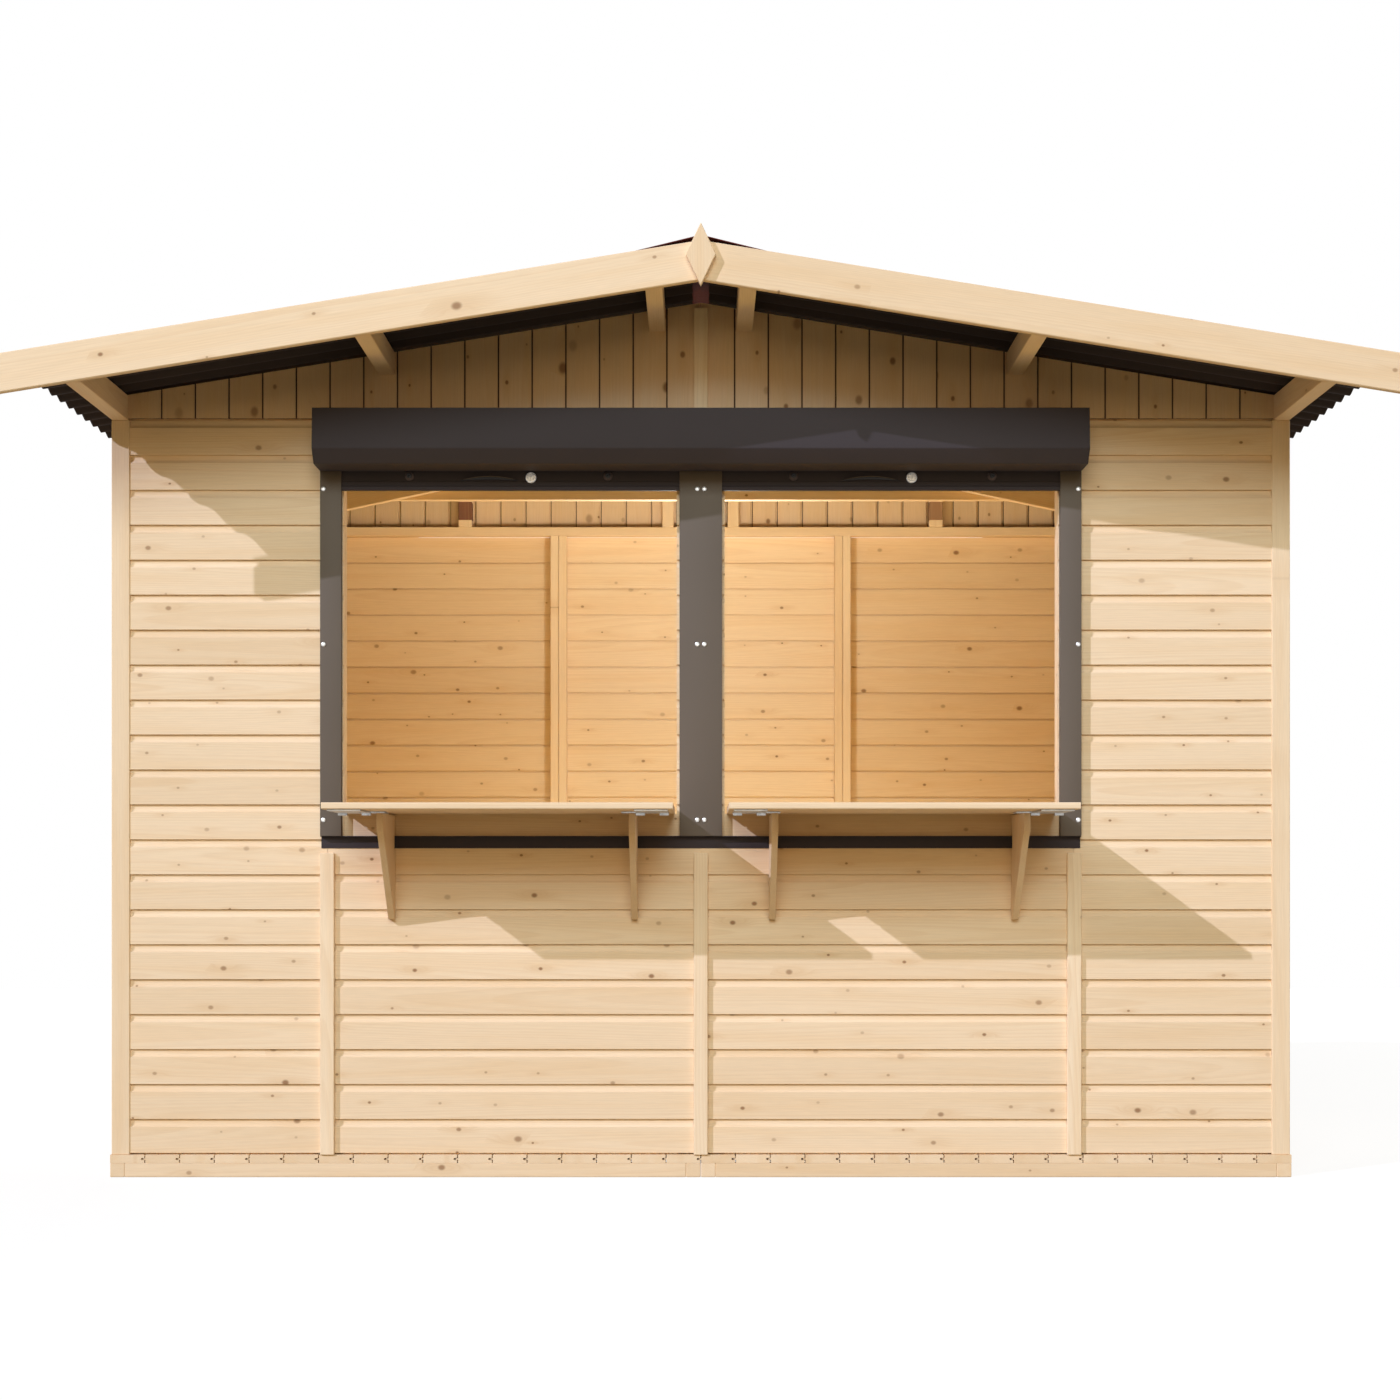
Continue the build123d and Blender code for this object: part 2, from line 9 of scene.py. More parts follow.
import bmesh
import bpy
from bpy.props import FloatProperty, FloatVectorProperty, IntProperty, PointerProperty
from bpy.types import NodeSocket, Operator, Panel, PropertyGroup, Scene
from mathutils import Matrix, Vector


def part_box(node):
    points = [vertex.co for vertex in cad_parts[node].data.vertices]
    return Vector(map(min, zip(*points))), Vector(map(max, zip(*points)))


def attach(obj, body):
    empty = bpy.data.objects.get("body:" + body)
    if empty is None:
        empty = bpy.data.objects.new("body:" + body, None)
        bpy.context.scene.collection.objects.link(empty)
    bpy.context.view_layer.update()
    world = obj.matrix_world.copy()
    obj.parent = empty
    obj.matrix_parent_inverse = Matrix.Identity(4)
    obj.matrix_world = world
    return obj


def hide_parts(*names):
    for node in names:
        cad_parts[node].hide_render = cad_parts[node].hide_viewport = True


bl_info = {
    "name": "Market Stall Dresser",
    "version": (1, 0, 0),
    "blender": (4, 5, 0),
    "location": "View3D > Sidebar > Stall",
    "description": "Builds the boards, timbers, roof sheets, shutters and counters of a market stall",
    "category": "Object",
}

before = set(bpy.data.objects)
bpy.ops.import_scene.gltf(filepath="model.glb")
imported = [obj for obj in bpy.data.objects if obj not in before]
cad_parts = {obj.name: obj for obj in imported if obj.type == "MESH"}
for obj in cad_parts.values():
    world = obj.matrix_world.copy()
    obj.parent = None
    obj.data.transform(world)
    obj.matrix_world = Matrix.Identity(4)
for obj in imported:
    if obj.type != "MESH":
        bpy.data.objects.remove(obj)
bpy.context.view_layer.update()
box = {name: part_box(name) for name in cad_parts}

WELD = 1e-5                 # corners closer than this are one corner
FLAT = math.radians(1.0)    # faces that turn less than this are one face
TURNED_SIDES = 28           # sides of a round fitting
ARC_STEPS = 10              # straight steps in a bend

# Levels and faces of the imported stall
wall_foot = box["side_wall_left"][0].z
wall_top = box["side_wall_left"][1].z
face_x = box["side_wall_right"][1].x
face_y = box["back_panel_middle"][1].y
cladding = box["back_panel_middle"][1].y - box["back_panel_middle"][0].y
ridge_height = box["front_gable_right"][1].z
gable_near = box["front_gable_right"][0].x
gable_far = box["front_gable_right"][1].x
eave_height = max(
    corner.co.z
    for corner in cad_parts["front_gable_right"].data.vertices
    if corner.co.x > gable_far - WELD
)
slope = (ridge_height - eave_height) / (gable_far - gable_near)
pitch = math.atan(slope)


def roof_height(x):
    """Height of the plane that the roof sheets lie on."""
    return ridge_height - slope * (abs(x) - gable_near)


def length(name, description, default):
    """A length that a user may change."""
    return FloatProperty(name=name, description=description, default=default, unit="LENGTH", precision=4)


def colour(name, description, default):
    """A colour that a user may change, in linear light."""
    return FloatVectorProperty(
        name=name, description=description, default=default, size=3, subtype="COLOR", min=0.0, max=1.0
    )


def level(name, description, default):
    """A plain number that a user may change."""
    return FloatProperty(name=name, description=description, default=default, min=0.0)


class BoardSettings(PropertyGroup):
    """Boards and timbers of the stall."""

    wall_rows: IntProperty(name="Wall rows", description="Boards up a wall", default=21, min=1)
    gable_boards: IntProperty(name="Gable boards", description="Boards in half a gable", default=17, min=1)
    floor_boards: IntProperty(name="Floor boards", description="Boards in half the floor", default=17, min=1)
    counter_boards: IntProperty(name="Counter boards", description="Boards in a counter", default=5, min=1)
    cove_height: length("Cove height", "Height of the hollow along the top of a wall board", 0.0185)
    cove_depth: length("Cove depth", "Depth of the hollow along the top of a wall board", 0.0066)
    cove_radius: length("Cove radius", "Curve at the foot of that hollow", 0.014)
    joint_gap: length("Joint gap", "Gap between neighbouring wall boards", 0.0014)
    gable_gap: length("Gable gap", "Gap between neighbouring gable boards", 0.0038)
    gable_foot: length("Gable foot", "Gap between the walls and the gable boards", 0.005)
    wall_foot_gap: length("Wall foot", "Gap between the floor and the lowest wall boards", 0.003)
    back_gap: length("Back gap", "How much shorter the rear lip of a groove is", 0.0042)
    floor_gap: length("Floor gap", "Gap between neighbouring floor boards at their ends", 0.0026)
    floor_tight: length("Tight floor gap", "Gap between neighbouring floor boards away from their ends", 0.0002)
    floor_open: length("Open floor ends", "Length over which the floor boards have shrunk apart", 0.080)
    tongue: length("Tongue", "Length of a board's tongue", 0.006)
    arris: length("Arris", "Chamfer along the edges of a board", 0.0009)
    easing: length("Easing", "Chamfer along the edges of a timber", 0.0016)
    nosing: length("Nosing", "Rounding of the front edge of a counter", 0.003)
    pale: colour("Pale wood", "Early wood of planed spruce", (0.875, 0.680, 0.480))
    late: colour("Late wood", "Dark part of a year ring", (0.70, 0.455, 0.245))
    honey: colour("Honey wood", "Resinous streaks", (0.80, 0.545, 0.305))
    knot: colour("Knot", "Heart of a knot", (0.25, 0.115, 0.050))
    trim_pale: colour("Trim wood", "Early wood of the corner trims", (0.925, 0.740, 0.540))
    # Painted shade: a dark colour on the wood inside the gaps between the gable boards, where shade falls.
    gable_joint_shade: colour("Gable joints", "Wood inside the gaps between the gable boards", (0.085, 0.040, 0.030))
    # Painted shade: the gable boards' early wood is kept darker than the wall boards' to stand in for shade under the
    # roof.
    gable_pale_shaded: colour("Gable wood", "Early wood of the gable boards", (0.79, 0.58, 0.40))
    stain: colour("Stain", "Stained blocks under the purlins", (0.20, 0.092, 0.063))


class RoofSettings(PropertyGroup):
    """Corrugated sheets, ridge cover and their nails."""

    waves: IntProperty(name="Waves", description="Waves across a sheet", default=37, min=1)
    wave_steps: IntProperty(name="Wave steps", description="Straight steps in a wave", default=12, min=4)
    wave_height: length("Wave height", "From trough to crest", 0.015)
    thickness: length("Thickness", "Thickness of a sheet", 0.003)
    ridge_gap: length("Ridge gap", "From the ridge to the upper end of a sheet", 0.020)
    cover_rise: length("Cover rise", "Inside of the ridge cover above the purlin plane", 0.046)
    cover_skin: length("Cover skin", "Thickness of the ridge cover", 0.002)
    cover_bend: length("Cover bend", "Half of the rounded stretch at the ridge", 0.014)
    nail_radius: length("Nail radius", "Cap of a roofing nail", 0.0105)
    nail_rise: length("Nail rise", "Height of a nail's cap", 0.006)
    sheet: colour("Sheet", "Matt wine-red sheet", (0.115, 0.022, 0.018))
    underside: colour("Underside", "Raw underside of the sheets", (0.030, 0.021, 0.018))


class ShutterSettings(PropertyGroup):
    """Roller-shutter set and the metal fittings."""

    box_top_depth: length("Box top depth", "Depth of the shutter box at its top", 0.141)
    box_fold_drop: length("Box fold drop", "From the top of the box down to the fold in its front", 0.102)
    box_foot_depth: length("Box foot depth", "Depth of the box at its foot", 0.118)
    box_bend: length("Box bend", "Rounded stretch on both sides of a fold", 0.0025)
    end_plate: length("End plate", "Thickness of a plate on the end of the box", 0.003)
    end_reveal: length("End reveal", "How far the skin stays behind the end plates", 0.001)
    metal_easing: length("Metal easing", "Rounding of folded metal edges", 0.0009)
    foot_height: length("Foot height", "Lip along the lower edge of an end slat", 0.012)
    seam_height: length("Seam height", "Joint between an end slat and its foot bar", 0.0235)
    seam_width: length("Seam width", "Width of that joint", 0.0016)
    seam_depth: length("Seam depth", "Depth of that joint", 0.0022)
    collar_radius: length("Collar radius", "Foot of the collar round a rubber stop", 0.0118)
    collar_reach: length("Collar reach", "Height of the collar round a rubber stop", 0.006)
    # The rim carries a painted highlight along the top of a pull.
    rim_height: length("Rim height", "Bright rim along the top of a pull", 0.0022)
    screw_radius: length("Screw radius", "Head of a guide screw", 0.006)
    screw_inset: length("Screw inset", "Guide screws from the edge of their rail", 0.0085)
    coat: colour("Powder coat", "Coating of the shutter box and slats", (0.052, 0.042, 0.046))
    # Painted sheen: the guides wear the same coat as the box, drawn paler as if lit by the sun.
    lit_guide_coat: colour("Guide coat", "Coating of the guides", (0.150, 0.121, 0.100))
    steel: colour("Steel", "Screws", (0.80, 0.79, 0.77))
    lock_steel: colour("Lock steel", "Faces of the locks", (0.50, 0.49, 0.48))
    zinc: colour("Zinc", "Catches under the counters", (0.55, 0.54, 0.52))
    rubber: colour("Rubber", "Stops and pulls", (0.010, 0.009, 0.009))


class StageSettings(PropertyGroup):
    """Camera, lights and floor."""

    distance: length("Distance", "Camera in front of the boarded front", 5.70)
    eye: length("Eye height", "Camera above the ground", 0.7525)
    aside: length("Aside", "Camera to the left of the stall's middle", 0.002)
    lens: level("Lens", "Focal length in millimetres on a sensor 36 mm wide", 57.55)
    shift: level("Shift", "Rise of the lens, as a share of the picture", 0.1296)
    sun_heading: FloatVectorProperty(
        name="Sun heading", description="Way that the key light travels", default=(1.26, 1.0, -0.93),
        size=3, subtype="DIRECTION",
    )
    sun_strength: level("Sun strength", "Key light", 2.69)
    sun_spread: FloatProperty(
        name="Sun spread", description="Softness of the key light",
        default=math.radians(0.5), subtype="ANGLE", unit="ROTATION",
    )
    sun_tint: colour("Sun tint", "Colour of the key light", (0.65, 0.70, 0.90))
    sky: level("Sky", "Even light from all round", 0.06)
    sky_tint: colour("Sky tint", "Colour of the even light", (1.0, 0.75, 0.45))
    front_box: level("Front softbox", "Watts of the wide lamp in front", 1480.0)
    front_tint: colour("Front tint", "Colour of the wide lamp in front", (0.88, 1.0, 1.0))
    glow_box: level("Low softbox", "Watts of the low lamp in front", 340.0)
    glow_tint: colour("Low tint", "Colour of the low lamps", (1.0, 0.76, 0.42))
    back_box: level("Back softbox", "Watts of the wide lamp behind", 1500.0)
    side_box: level("Side softbox", "Watts of the wide lamp on the right", 1200.0)
    left_box: level("Left softbox", "Watts of the low lamp on the left", 700.0)
    box_width: length("Softbox width", "Width of a wide lamp", 10.0)
    box_height: length("Softbox height", "Height of a wide lamp", 6.0)
    box_distance: length("Softbox distance", "From the stall's middle to a wide lamp", 16.0)
    box_level: length("Softbox level", "Middle of a wide lamp above the ground", 8.6)
    glow_width: length("Low softbox width", "Width of a low lamp", 6.0)
    glow_height: length("Low softbox height", "Height of a low lamp", 3.8)
    glow_level: length("Low softbox level", "Middle of a low lamp above the ground", 3.5)
    room: level("Room", "Watts of the soft lamp in the room", 14.2)
    room_size: length("Room size", "Radius of the soft lamp in the room", 0.10)
    room_place: FloatVectorProperty(
        name="Room place", description="Middle of the soft lamp in the room",
        default=(0.0, 0.05, 1.50), size=3, subtype="XYZ", unit="LENGTH",
    )
    room_tint: colour("Room tint", "Colour of the soft lamp in the room", (0.88, 0.97, 1.0))
    warmth: level("Warmth", "Watts of the warm lamp below the hatches", 11.5)
    warmth_place: FloatVectorProperty(
        name="Warmth place", description="Middle of the warm lamp below the hatches",
        default=(0.0, -0.62, 0.45), size=3, subtype="XYZ", unit="LENGTH",
    )
    warmth_width: length("Warmth width", "Width of the warm lamp below the hatches", 2.6)
    warmth_height: length("Warmth height", "Height of the warm lamp below the hatches", 0.7)
    warmth_tint: colour("Warm tint", "Colour of the warm lamp below the hatches", (1.0, 0.72, 0.12))
    loft: level("Loft", "Watts of the lamp that lights the back gable from inside", 4.9)
    loft_place: FloatVectorProperty(
        name="Loft place", description="Middle of the lamp under the roof",
        default=(0.0, 0.30, 1.70), size=3, subtype="XYZ", unit="LENGTH",
    )
    loft_heading: FloatVectorProperty(
        name="Loft heading", description="Way in which the lamp under the roof shines",
        default=(0.0, 0.45, 1.0), size=3, subtype="DIRECTION",
    )
    loft_width: length("Loft width", "Width of the lamp under the roof", 2.4)
    loft_height: length("Loft height", "Height of the lamp under the roof", 0.15)
    loft_tint: colour("Loft tint", "Colour of the lamp under the roof", (1.0, 0.84, 0.50))
    floor: colour("Floor", "Plain pale floor", (0.24, 0.24, 0.24))
    floor_glow: colour("Floor glow", "Colour that the floor throws back", (0.31, 0.235, 0.113))
    floor_lift: level("Floor lift", "Brightening of the floor as the camera sees it", 0.80)
    floor_reach: length("Floor reach", "From the stall's middle to the edge of the floor", 9.0)


# Wood that was sawn from a tree

class Tree:
    """Where a board sat in its trunk, so that rings and knots run through it."""

    def __init__(self, rng, along, depth, middle, tones):
        self.along = Vector(along).normalized()
        depth = Vector(depth)
        self.depth = (depth - depth.dot(self.along) * self.along).normalized()
        self.across = self.depth.cross(self.along)
        self.middle = Vector(middle)
        self.shift = rng.uniform(-40.0, 40.0)
        self.pith_across = rng.uniform(-0.06, 0.06)
        self.pith_depth = rng.uniform(0.035, 0.130) * rng.choice((-1.0, 1.0))
        self.lean_across = rng.uniform(-0.010, 0.010)
        self.lean_depth = rng.uniform(-0.016, 0.016)
        self.tone = rng.uniform(*tones)

    def place(self, point):
        """Distance along the trunk and two distances from its pith."""
        arm = point - self.middle
        along = arm.dot(self.along)
        across = arm.dot(self.across) + self.pith_across + self.lean_across * along
        depth = arm.dot(self.depth) + self.pith_depth + self.lean_depth * along
        return (along + self.shift, across, depth)

    def hidden(self, point):
        """Distance from the face that the middle lies on."""
        return abs((point - self.middle).dot(self.depth))


class Solids:
    """Closed solids that are joined into one piece."""

    def __init__(self, seed):
        self.rng = random.Random(seed)
        self.points = []
        self.faces = []
        self.places = []
        self.tones = []
        self.hidden = []

    def tree(self, along, depth, middle, tones=(0.35, 1.0)):
        """Draw the tree for a board, whose tone runs from honey to pale."""
        return Tree(self.rng, along, depth, middle, tones)

    def add(self, solid, tree=None):
        """Take over a closed solid, cut from the given tree if it is wood."""
        bmesh.ops.recalc_face_normals(solid, faces=solid.faces)
        solid.verts.index_update()
        first = len(self.points)
        for corner in solid.verts:
            self.points.append(corner.co.copy())
            self.places.append(tree.place(corner.co) if tree else corner.co.copy())
            self.tones.append(tree.tone if tree else 0.0)
            self.hidden.append(tree.hidden(corner.co) if tree else 0.0)
        for face in solid.faces:
            self.faces.append([first + corner.index for corner in face.verts])
        solid.free()

    def finish(self, name, material, slot, *nodes, crease=25.0):
        """Make the piece, which stands for the named nodes."""
        mesh = bpy.data.meshes.new(name)
        mesh.from_pydata(self.points, [], self.faces)
        places = mesh.attributes.new("timber", "FLOAT_VECTOR", "POINT")
        places.data.foreach_set("vector", [value for place in self.places for value in place])
        tones = mesh.attributes.new("tone", "FLOAT", "POINT")
        tones.data.foreach_set("value", self.tones)
        hidden = mesh.attributes.new("hidden", "FLOAT", "POINT")
        hidden.data.foreach_set("value", self.hidden)
        mesh.shade_smooth()
        mesh.set_sharp_from_angle(angle=math.radians(crease))
        mesh.materials.append(material)
        piece = bpy.data.objects.new(name, mesh)
        bpy.context.scene.collection.objects.link(piece)
        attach(piece, "root")
        if nodes:
            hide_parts(*nodes)
        return piece


# Ways of making a solid

def packed_solids(node):
    """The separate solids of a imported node, with flat faces whole."""
    whole = bmesh.new()
    whole.from_mesh(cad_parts[node].data)
    bmesh.ops.remove_doubles(whole, verts=whole.verts, dist=WELD)
    bmesh.ops.dissolve_limit(whole, angle_limit=FLAT, verts=whole.verts, edges=whole.edges)
    waiting = set(whole.verts)
    solids = []
    while waiting:
        group = {waiting.pop()}
        edge_of_group = list(group)
        while edge_of_group:
            corner = edge_of_group.pop()
            for edge in corner.link_edges:
                other = edge.other_vert(corner)
                if other not in group:
                    group.add(other)
                    edge_of_group.append(other)
        waiting -= group
        solid = bmesh.new()
        copies = {corner: solid.verts.new(corner.co) for corner in group}
        for face in {face for corner in group for face in corner.link_faces}:
            solid.faces.new([copies[corner] for corner in face.verts])
        bmesh.ops.recalc_face_normals(solid, faces=solid.faces)
        solids.append(solid)
    whole.free()
    return sorted(solids, key=lambda solid: tuple(round(value, 4) for value in corners(solid)[0]))


def corners(solid):
    """Lowest and highest corner of a solid."""
    axes = list(zip(*(corner.co for corner in solid.verts)))
    return Vector(map(min, axes)), Vector(map(max, axes))


def ease(solid, width, steps=1, spare=None):
    """Chamfer or round the outer edges of a solid, apart from those to spare."""
    sharp = [edge for edge in solid.edges if edge.is_manifold and edge.is_convex]
    sharp = [edge for edge in sharp if not (spare and spare(edge))]
    bmesh.ops.bevel(
        solid, geom=sharp, offset=width, segments=steps, profile=0.5, affect="EDGES", clamp_overlap=True
    )


def longest_edge(solid):
    """Way of the longest edge, which the grain of a timber follows."""
    edge = max(solid.edges, key=lambda edge: round(edge.calc_length(), 5))
    return edge.verts[1].co - edge.verts[0].co


def thin_axis(solid, along):
    """Axis across the thinnest way of a timber, clear of its grain."""
    low, high = corners(solid)
    axes = [Vector((1, 0, 0)), Vector((0, 1, 0)), Vector((0, 0, 1))]
    grain = Vector(along).normalized()
    free = [axis for axis in axes if abs(axis.dot(grain)) < 0.8]
    return min(free, key=lambda axis: axis.dot(high - low))


def add_timbers(solids, node, width, along=None):
    """Add the solids of a node as timbers with eased edges."""
    for timber in packed_solids(node):
        grain = along or longest_edge(timber)
        low, high = corners(timber)
        tree = solids.tree(grain, thin_axis(timber, grain), (low + high) / 2)
        ease(timber, width)
        solids.add(timber, tree)


def run_out(outline, place, ends):
    """Closed solid from an outline, run between two ends that may slope across it."""
    return run_through([outline] * len(ends), place, ends)


def run_through(outlines, place, ends):
    """Closed solid through outlines with as many points each, one at each end or stop."""
    solid = bmesh.new()
    rings = []
    for outline, end in zip(outlines, ends):
        rings.append([solid.verts.new(place(w, d, end(w) if callable(end) else end)) for w, d in outline])
    for near, far in zip(rings, rings[1:]):
        for here in range(len(near)):
            after = (here + 1) % len(near)
            solid.faces.new((near[here], near[after], far[after], far[here]))
    solid.faces.new(rings[0])
    solid.faces.new(rings[-1])
    return solid


def turn(profile, centre, axis=(0, -1, 0)):
    """Round solid from radii and heights along an axis."""
    solid = bmesh.new()
    spin = Vector(axis).normalized().to_track_quat("Z", "Y").to_matrix()
    rings = []
    for radius, height in profile:
        steps = TURNED_SIDES if radius > 0 else 1
        angles = [2 * math.pi * step / steps for step in range(steps)]
        arms = [Vector((radius * math.cos(angle), radius * math.sin(angle), height)) for angle in angles]
        rings.append([solid.verts.new(Vector(centre) + spin @ arm) for arm in arms])
    for lower, upper in zip(rings, rings[1:]):
        for step in range(TURNED_SIDES):
            after = (step + 1) % TURNED_SIDES
            ring = [lower[step % len(lower)], lower[after % len(lower)]]
            ring += [upper[after % len(upper)], upper[step % len(upper)]]
            solid.faces.new(list(dict.fromkeys(ring)))
    for cap in (rings[0], rings[-1]):
        if len(cap) > 2:
            solid.faces.new(cap)
    return solid


def arc(centre, radius, start, end, steps=ARC_STEPS):
    """Points of an arc, angles in radians."""
    angles = [start + (end - start) * step / steps for step in range(steps + 1)]
    return [(centre[0] + radius * math.cos(angle), centre[1] + radius * math.sin(angle)) for angle in angles]


def fold(before, corner, after, run, steps=4):
    """Points that round a corner of an outline, starting a short run before it."""
    corner = Vector(corner)
    start = corner + (Vector(before) - corner).normalized() * run
    end = corner + (Vector(after) - corner).normalized() * run
    shares = [step / steps for step in range(steps + 1)]
    return [tuple(start.lerp(corner, share).lerp(corner.lerp(end, share), share)) for share in shares]


# Board sections, as points of width and depth behind the face

TONGUE_SHARES = (0.43, 0.60)    # where a tongue lies in a board's thickness
TAPER_SHARE = 0.12              # taper of a tongue, of its length


def grooved_edge(w, thick, gap, boards, back_gap=None):
    """Lower edge of a board, from its face to its back, with a groove."""
    edge = w + gap / 2
    face_side, back_side = (share * thick for share in TONGUE_SHARES)
    bottom = edge + boards.tongue + gap
    taper = TAPER_SHARE * boards.tongue
    rear = edge + (boards.back_gap if back_gap is None else back_gap)
    return [
        (edge + boards.arris, 0.0),
        (edge, boards.arris),
        (edge, face_side - gap / 2),
        (bottom, face_side - gap / 2 + taper),
        (bottom, back_side + gap / 2 - taper),
        (rear, back_side + gap / 2),
        (rear, thick - boards.arris),
        (rear + boards.arris, thick),
    ]


def tongued_edge(w, thick, gap, boards):
    """Upper edge of a board, from its back to its face, with a tongue."""
    edge = w - gap / 2
    face_side, back_side = (share * thick for share in TONGUE_SHARES)
    tip = edge + boards.tongue
    taper = TAPER_SHARE * boards.tongue
    return [
        (edge - boards.arris, thick),
        (edge, thick - boards.arris),
        (edge, back_side),
        (tip, back_side - taper),
        (tip, face_side + taper),
        (edge, face_side),
        (edge, boards.arris),
        (edge - boards.arris, 0.0),
    ]


def coved_edge(w, thick, boards, tongued):
    """Upper edge of a wall board, from its back to its face, with a cove."""
    edge = w - boards.joint_gap / 2
    back = tongued_edge(w, thick, boards.joint_gap, boards)[:6] if tongued else [(edge, thick)]
    sweep = math.acos(1 - boards.cove_depth / boards.cove_radius)
    flat = boards.cove_height - boards.cove_radius * math.sin(sweep)
    centre = (edge - flat, boards.cove_depth - boards.cove_radius)
    hollow = arc(centre, boards.cove_radius, math.pi / 2, math.pi / 2 + sweep, 6)
    return back + [(edge, boards.cove_depth)] + hollow


def plain_edge(w, thick, boards):
    """Sawn lower edge of a board, from its face to its back."""
    return [(w, 0.0), (w, thick)]


def wall_section(low, high, boards, cut_low=False, cut_high=False, topmost=False):
    """Section of a wall board with a coved top, sawn off plain where it was cut."""
    lower = plain_edge(low, cladding, boards) if cut_low else grooved_edge(low, cladding, boards.joint_gap, boards)
    if cut_high:
        return lower + plain_edge(high, cladding, boards)[::-1]
    return lower + coved_edge(high, cladding, boards, not topmost)


# Shader nodes

class Graph:
    """Shader nodes of one material, wired as they are added."""

    def __init__(self, name):
        self.material = bpy.data.materials.new(name)
        self.material.use_nodes = True
        self.tree = self.material.node_tree
        self.tree.nodes.clear()

    def add(self, kind, values=None, **settings):
        """Add a node, with its inputs set or linked."""
        node = self.tree.nodes.new(kind)
        for key, value in settings.items():
            setattr(node, key, value)
        for key, value in (values or {}).items():
            if isinstance(value, NodeSocket):
                self.tree.links.new(value, node.inputs[key])
            else:
                node.inputs[key].default_value = value
        return node

    def read(self, attribute, output="Vector"):
        """Value that the mesh carries."""
        return self.add("ShaderNodeAttribute", attribute_name=attribute).outputs[output]

    def sum(self, operation, first, second=0.0):
        """One step of arithmetic."""
        return self.add("ShaderNodeMath", {0: first, 1: second}, operation=operation).outputs[0]

    def vector(self, operation, first, second=(0.0, 0.0, 0.0)):
        """One step of arithmetic on vectors."""
        node = self.add("ShaderNodeVectorMath", {0: first, 1: second}, operation=operation)
        return node.outputs["Value" if operation == "LENGTH" else "Vector"]

    def fade(self, value, start, end, first=0.0, last=1.0, smooth=True):
        """Value that goes from first to last between start and end."""
        names = ("Value", "From Min", "From Max", "To Min", "To Max")
        ramp = dict(zip(names, (value, start, end, first, last)))
        kind = "SMOOTHSTEP" if smooth else "LINEAR"
        return self.add("ShaderNodeMapRange", ramp, interpolation_type=kind).outputs["Result"]

    def noise(self, place, stretch, detail=2.0, roughness=0.5):
        """Noise from zero to one, stretched along the axes, in cells per metre."""
        spread = self.vector("MULTIPLY", place, stretch)
        values = {"Vector": spread, "Scale": 1.0, "Detail": detail, "Roughness": roughness}
        return self.add("ShaderNodeTexNoise", values).outputs["Fac"]

    def blend(self, share, first, second, mode="MIX"):
        """Mix of two colours."""
        values = {"Factor": share, 6: solid_colour(first), 7: solid_colour(second)}
        return self.add("ShaderNodeMix", values, data_type="RGBA", blend_type=mode).outputs[2]

    def surface(self, base, roughness, height=None, bump=0.3, relief=0.0005, **constants):
        """Close the material with its shader."""
        values = {"Base Color": base, "Roughness": roughness}
        values.update({key.replace("_", " "): value for key, value in constants.items()})
        if height is not None:
            lift = {"Height": height, "Strength": bump, "Distance": relief}
            values["Normal"] = self.add("ShaderNodeBump", lift).outputs["Normal"]
        shader = self.add("ShaderNodeBsdfPrincipled", values)
        self.add("ShaderNodeOutputMaterial", {"Surface": shader.outputs["BSDF"]})
        return self.material


def solid_colour(value):
    """Colour with its fourth channel, or a socket as it is."""
    return value if isinstance(value, NodeSocket) else (*value, 1.0)


def knots(graph, place, share, smallest, largest):
    """Knots scattered along a board, one to a cell: heart, halo and radius."""
    cell, row = 0.16, 0.085
    cells = graph.vector("DIVIDE", place, (cell, row, 1.0))
    field = graph.add(
        "ShaderNodeTexVoronoi", {"Vector": cells, "Scale": 1.0, "Randomness": 0.9}, voronoi_dimensions="2D"
    )
    apart = graph.vector("SUBTRACT", cells, field.outputs["Position"])
    dice = graph.add("ShaderNodeSeparateColor", {"Color": field.outputs["Color"]}).outputs
    present = graph.sum("LESS_THAN", dice[0], share)
    radius = graph.fade(graph.sum("MULTIPLY", dice[1], dice[1]), 0.0, 1.0, smallest, largest, smooth=False)
    oval = graph.vector("LENGTH", graph.vector("MULTIPLY", apart, (0.75 * cell, row, 0.0)))
    long_oval = graph.vector("LENGTH", graph.vector("MULTIPLY", apart, (0.24 * cell, row, 0.0)))
    heart = graph.fade(graph.sum("DIVIDE", oval, radius), 0.45, 1.30, 1.0, 0.0)
    halo = graph.fade(graph.sum("DIVIDE", long_oval, radius), 0.5, 3.4, 1.0, 0.0)
    strength = graph.sum("MULTIPLY", present, graph.fade(dice[2], 0.1, 0.9, 0.40, 1.0, smooth=False))
    return graph.sum("MULTIPLY", heart, strength), graph.sum("MULTIPLY", halo, strength), radius


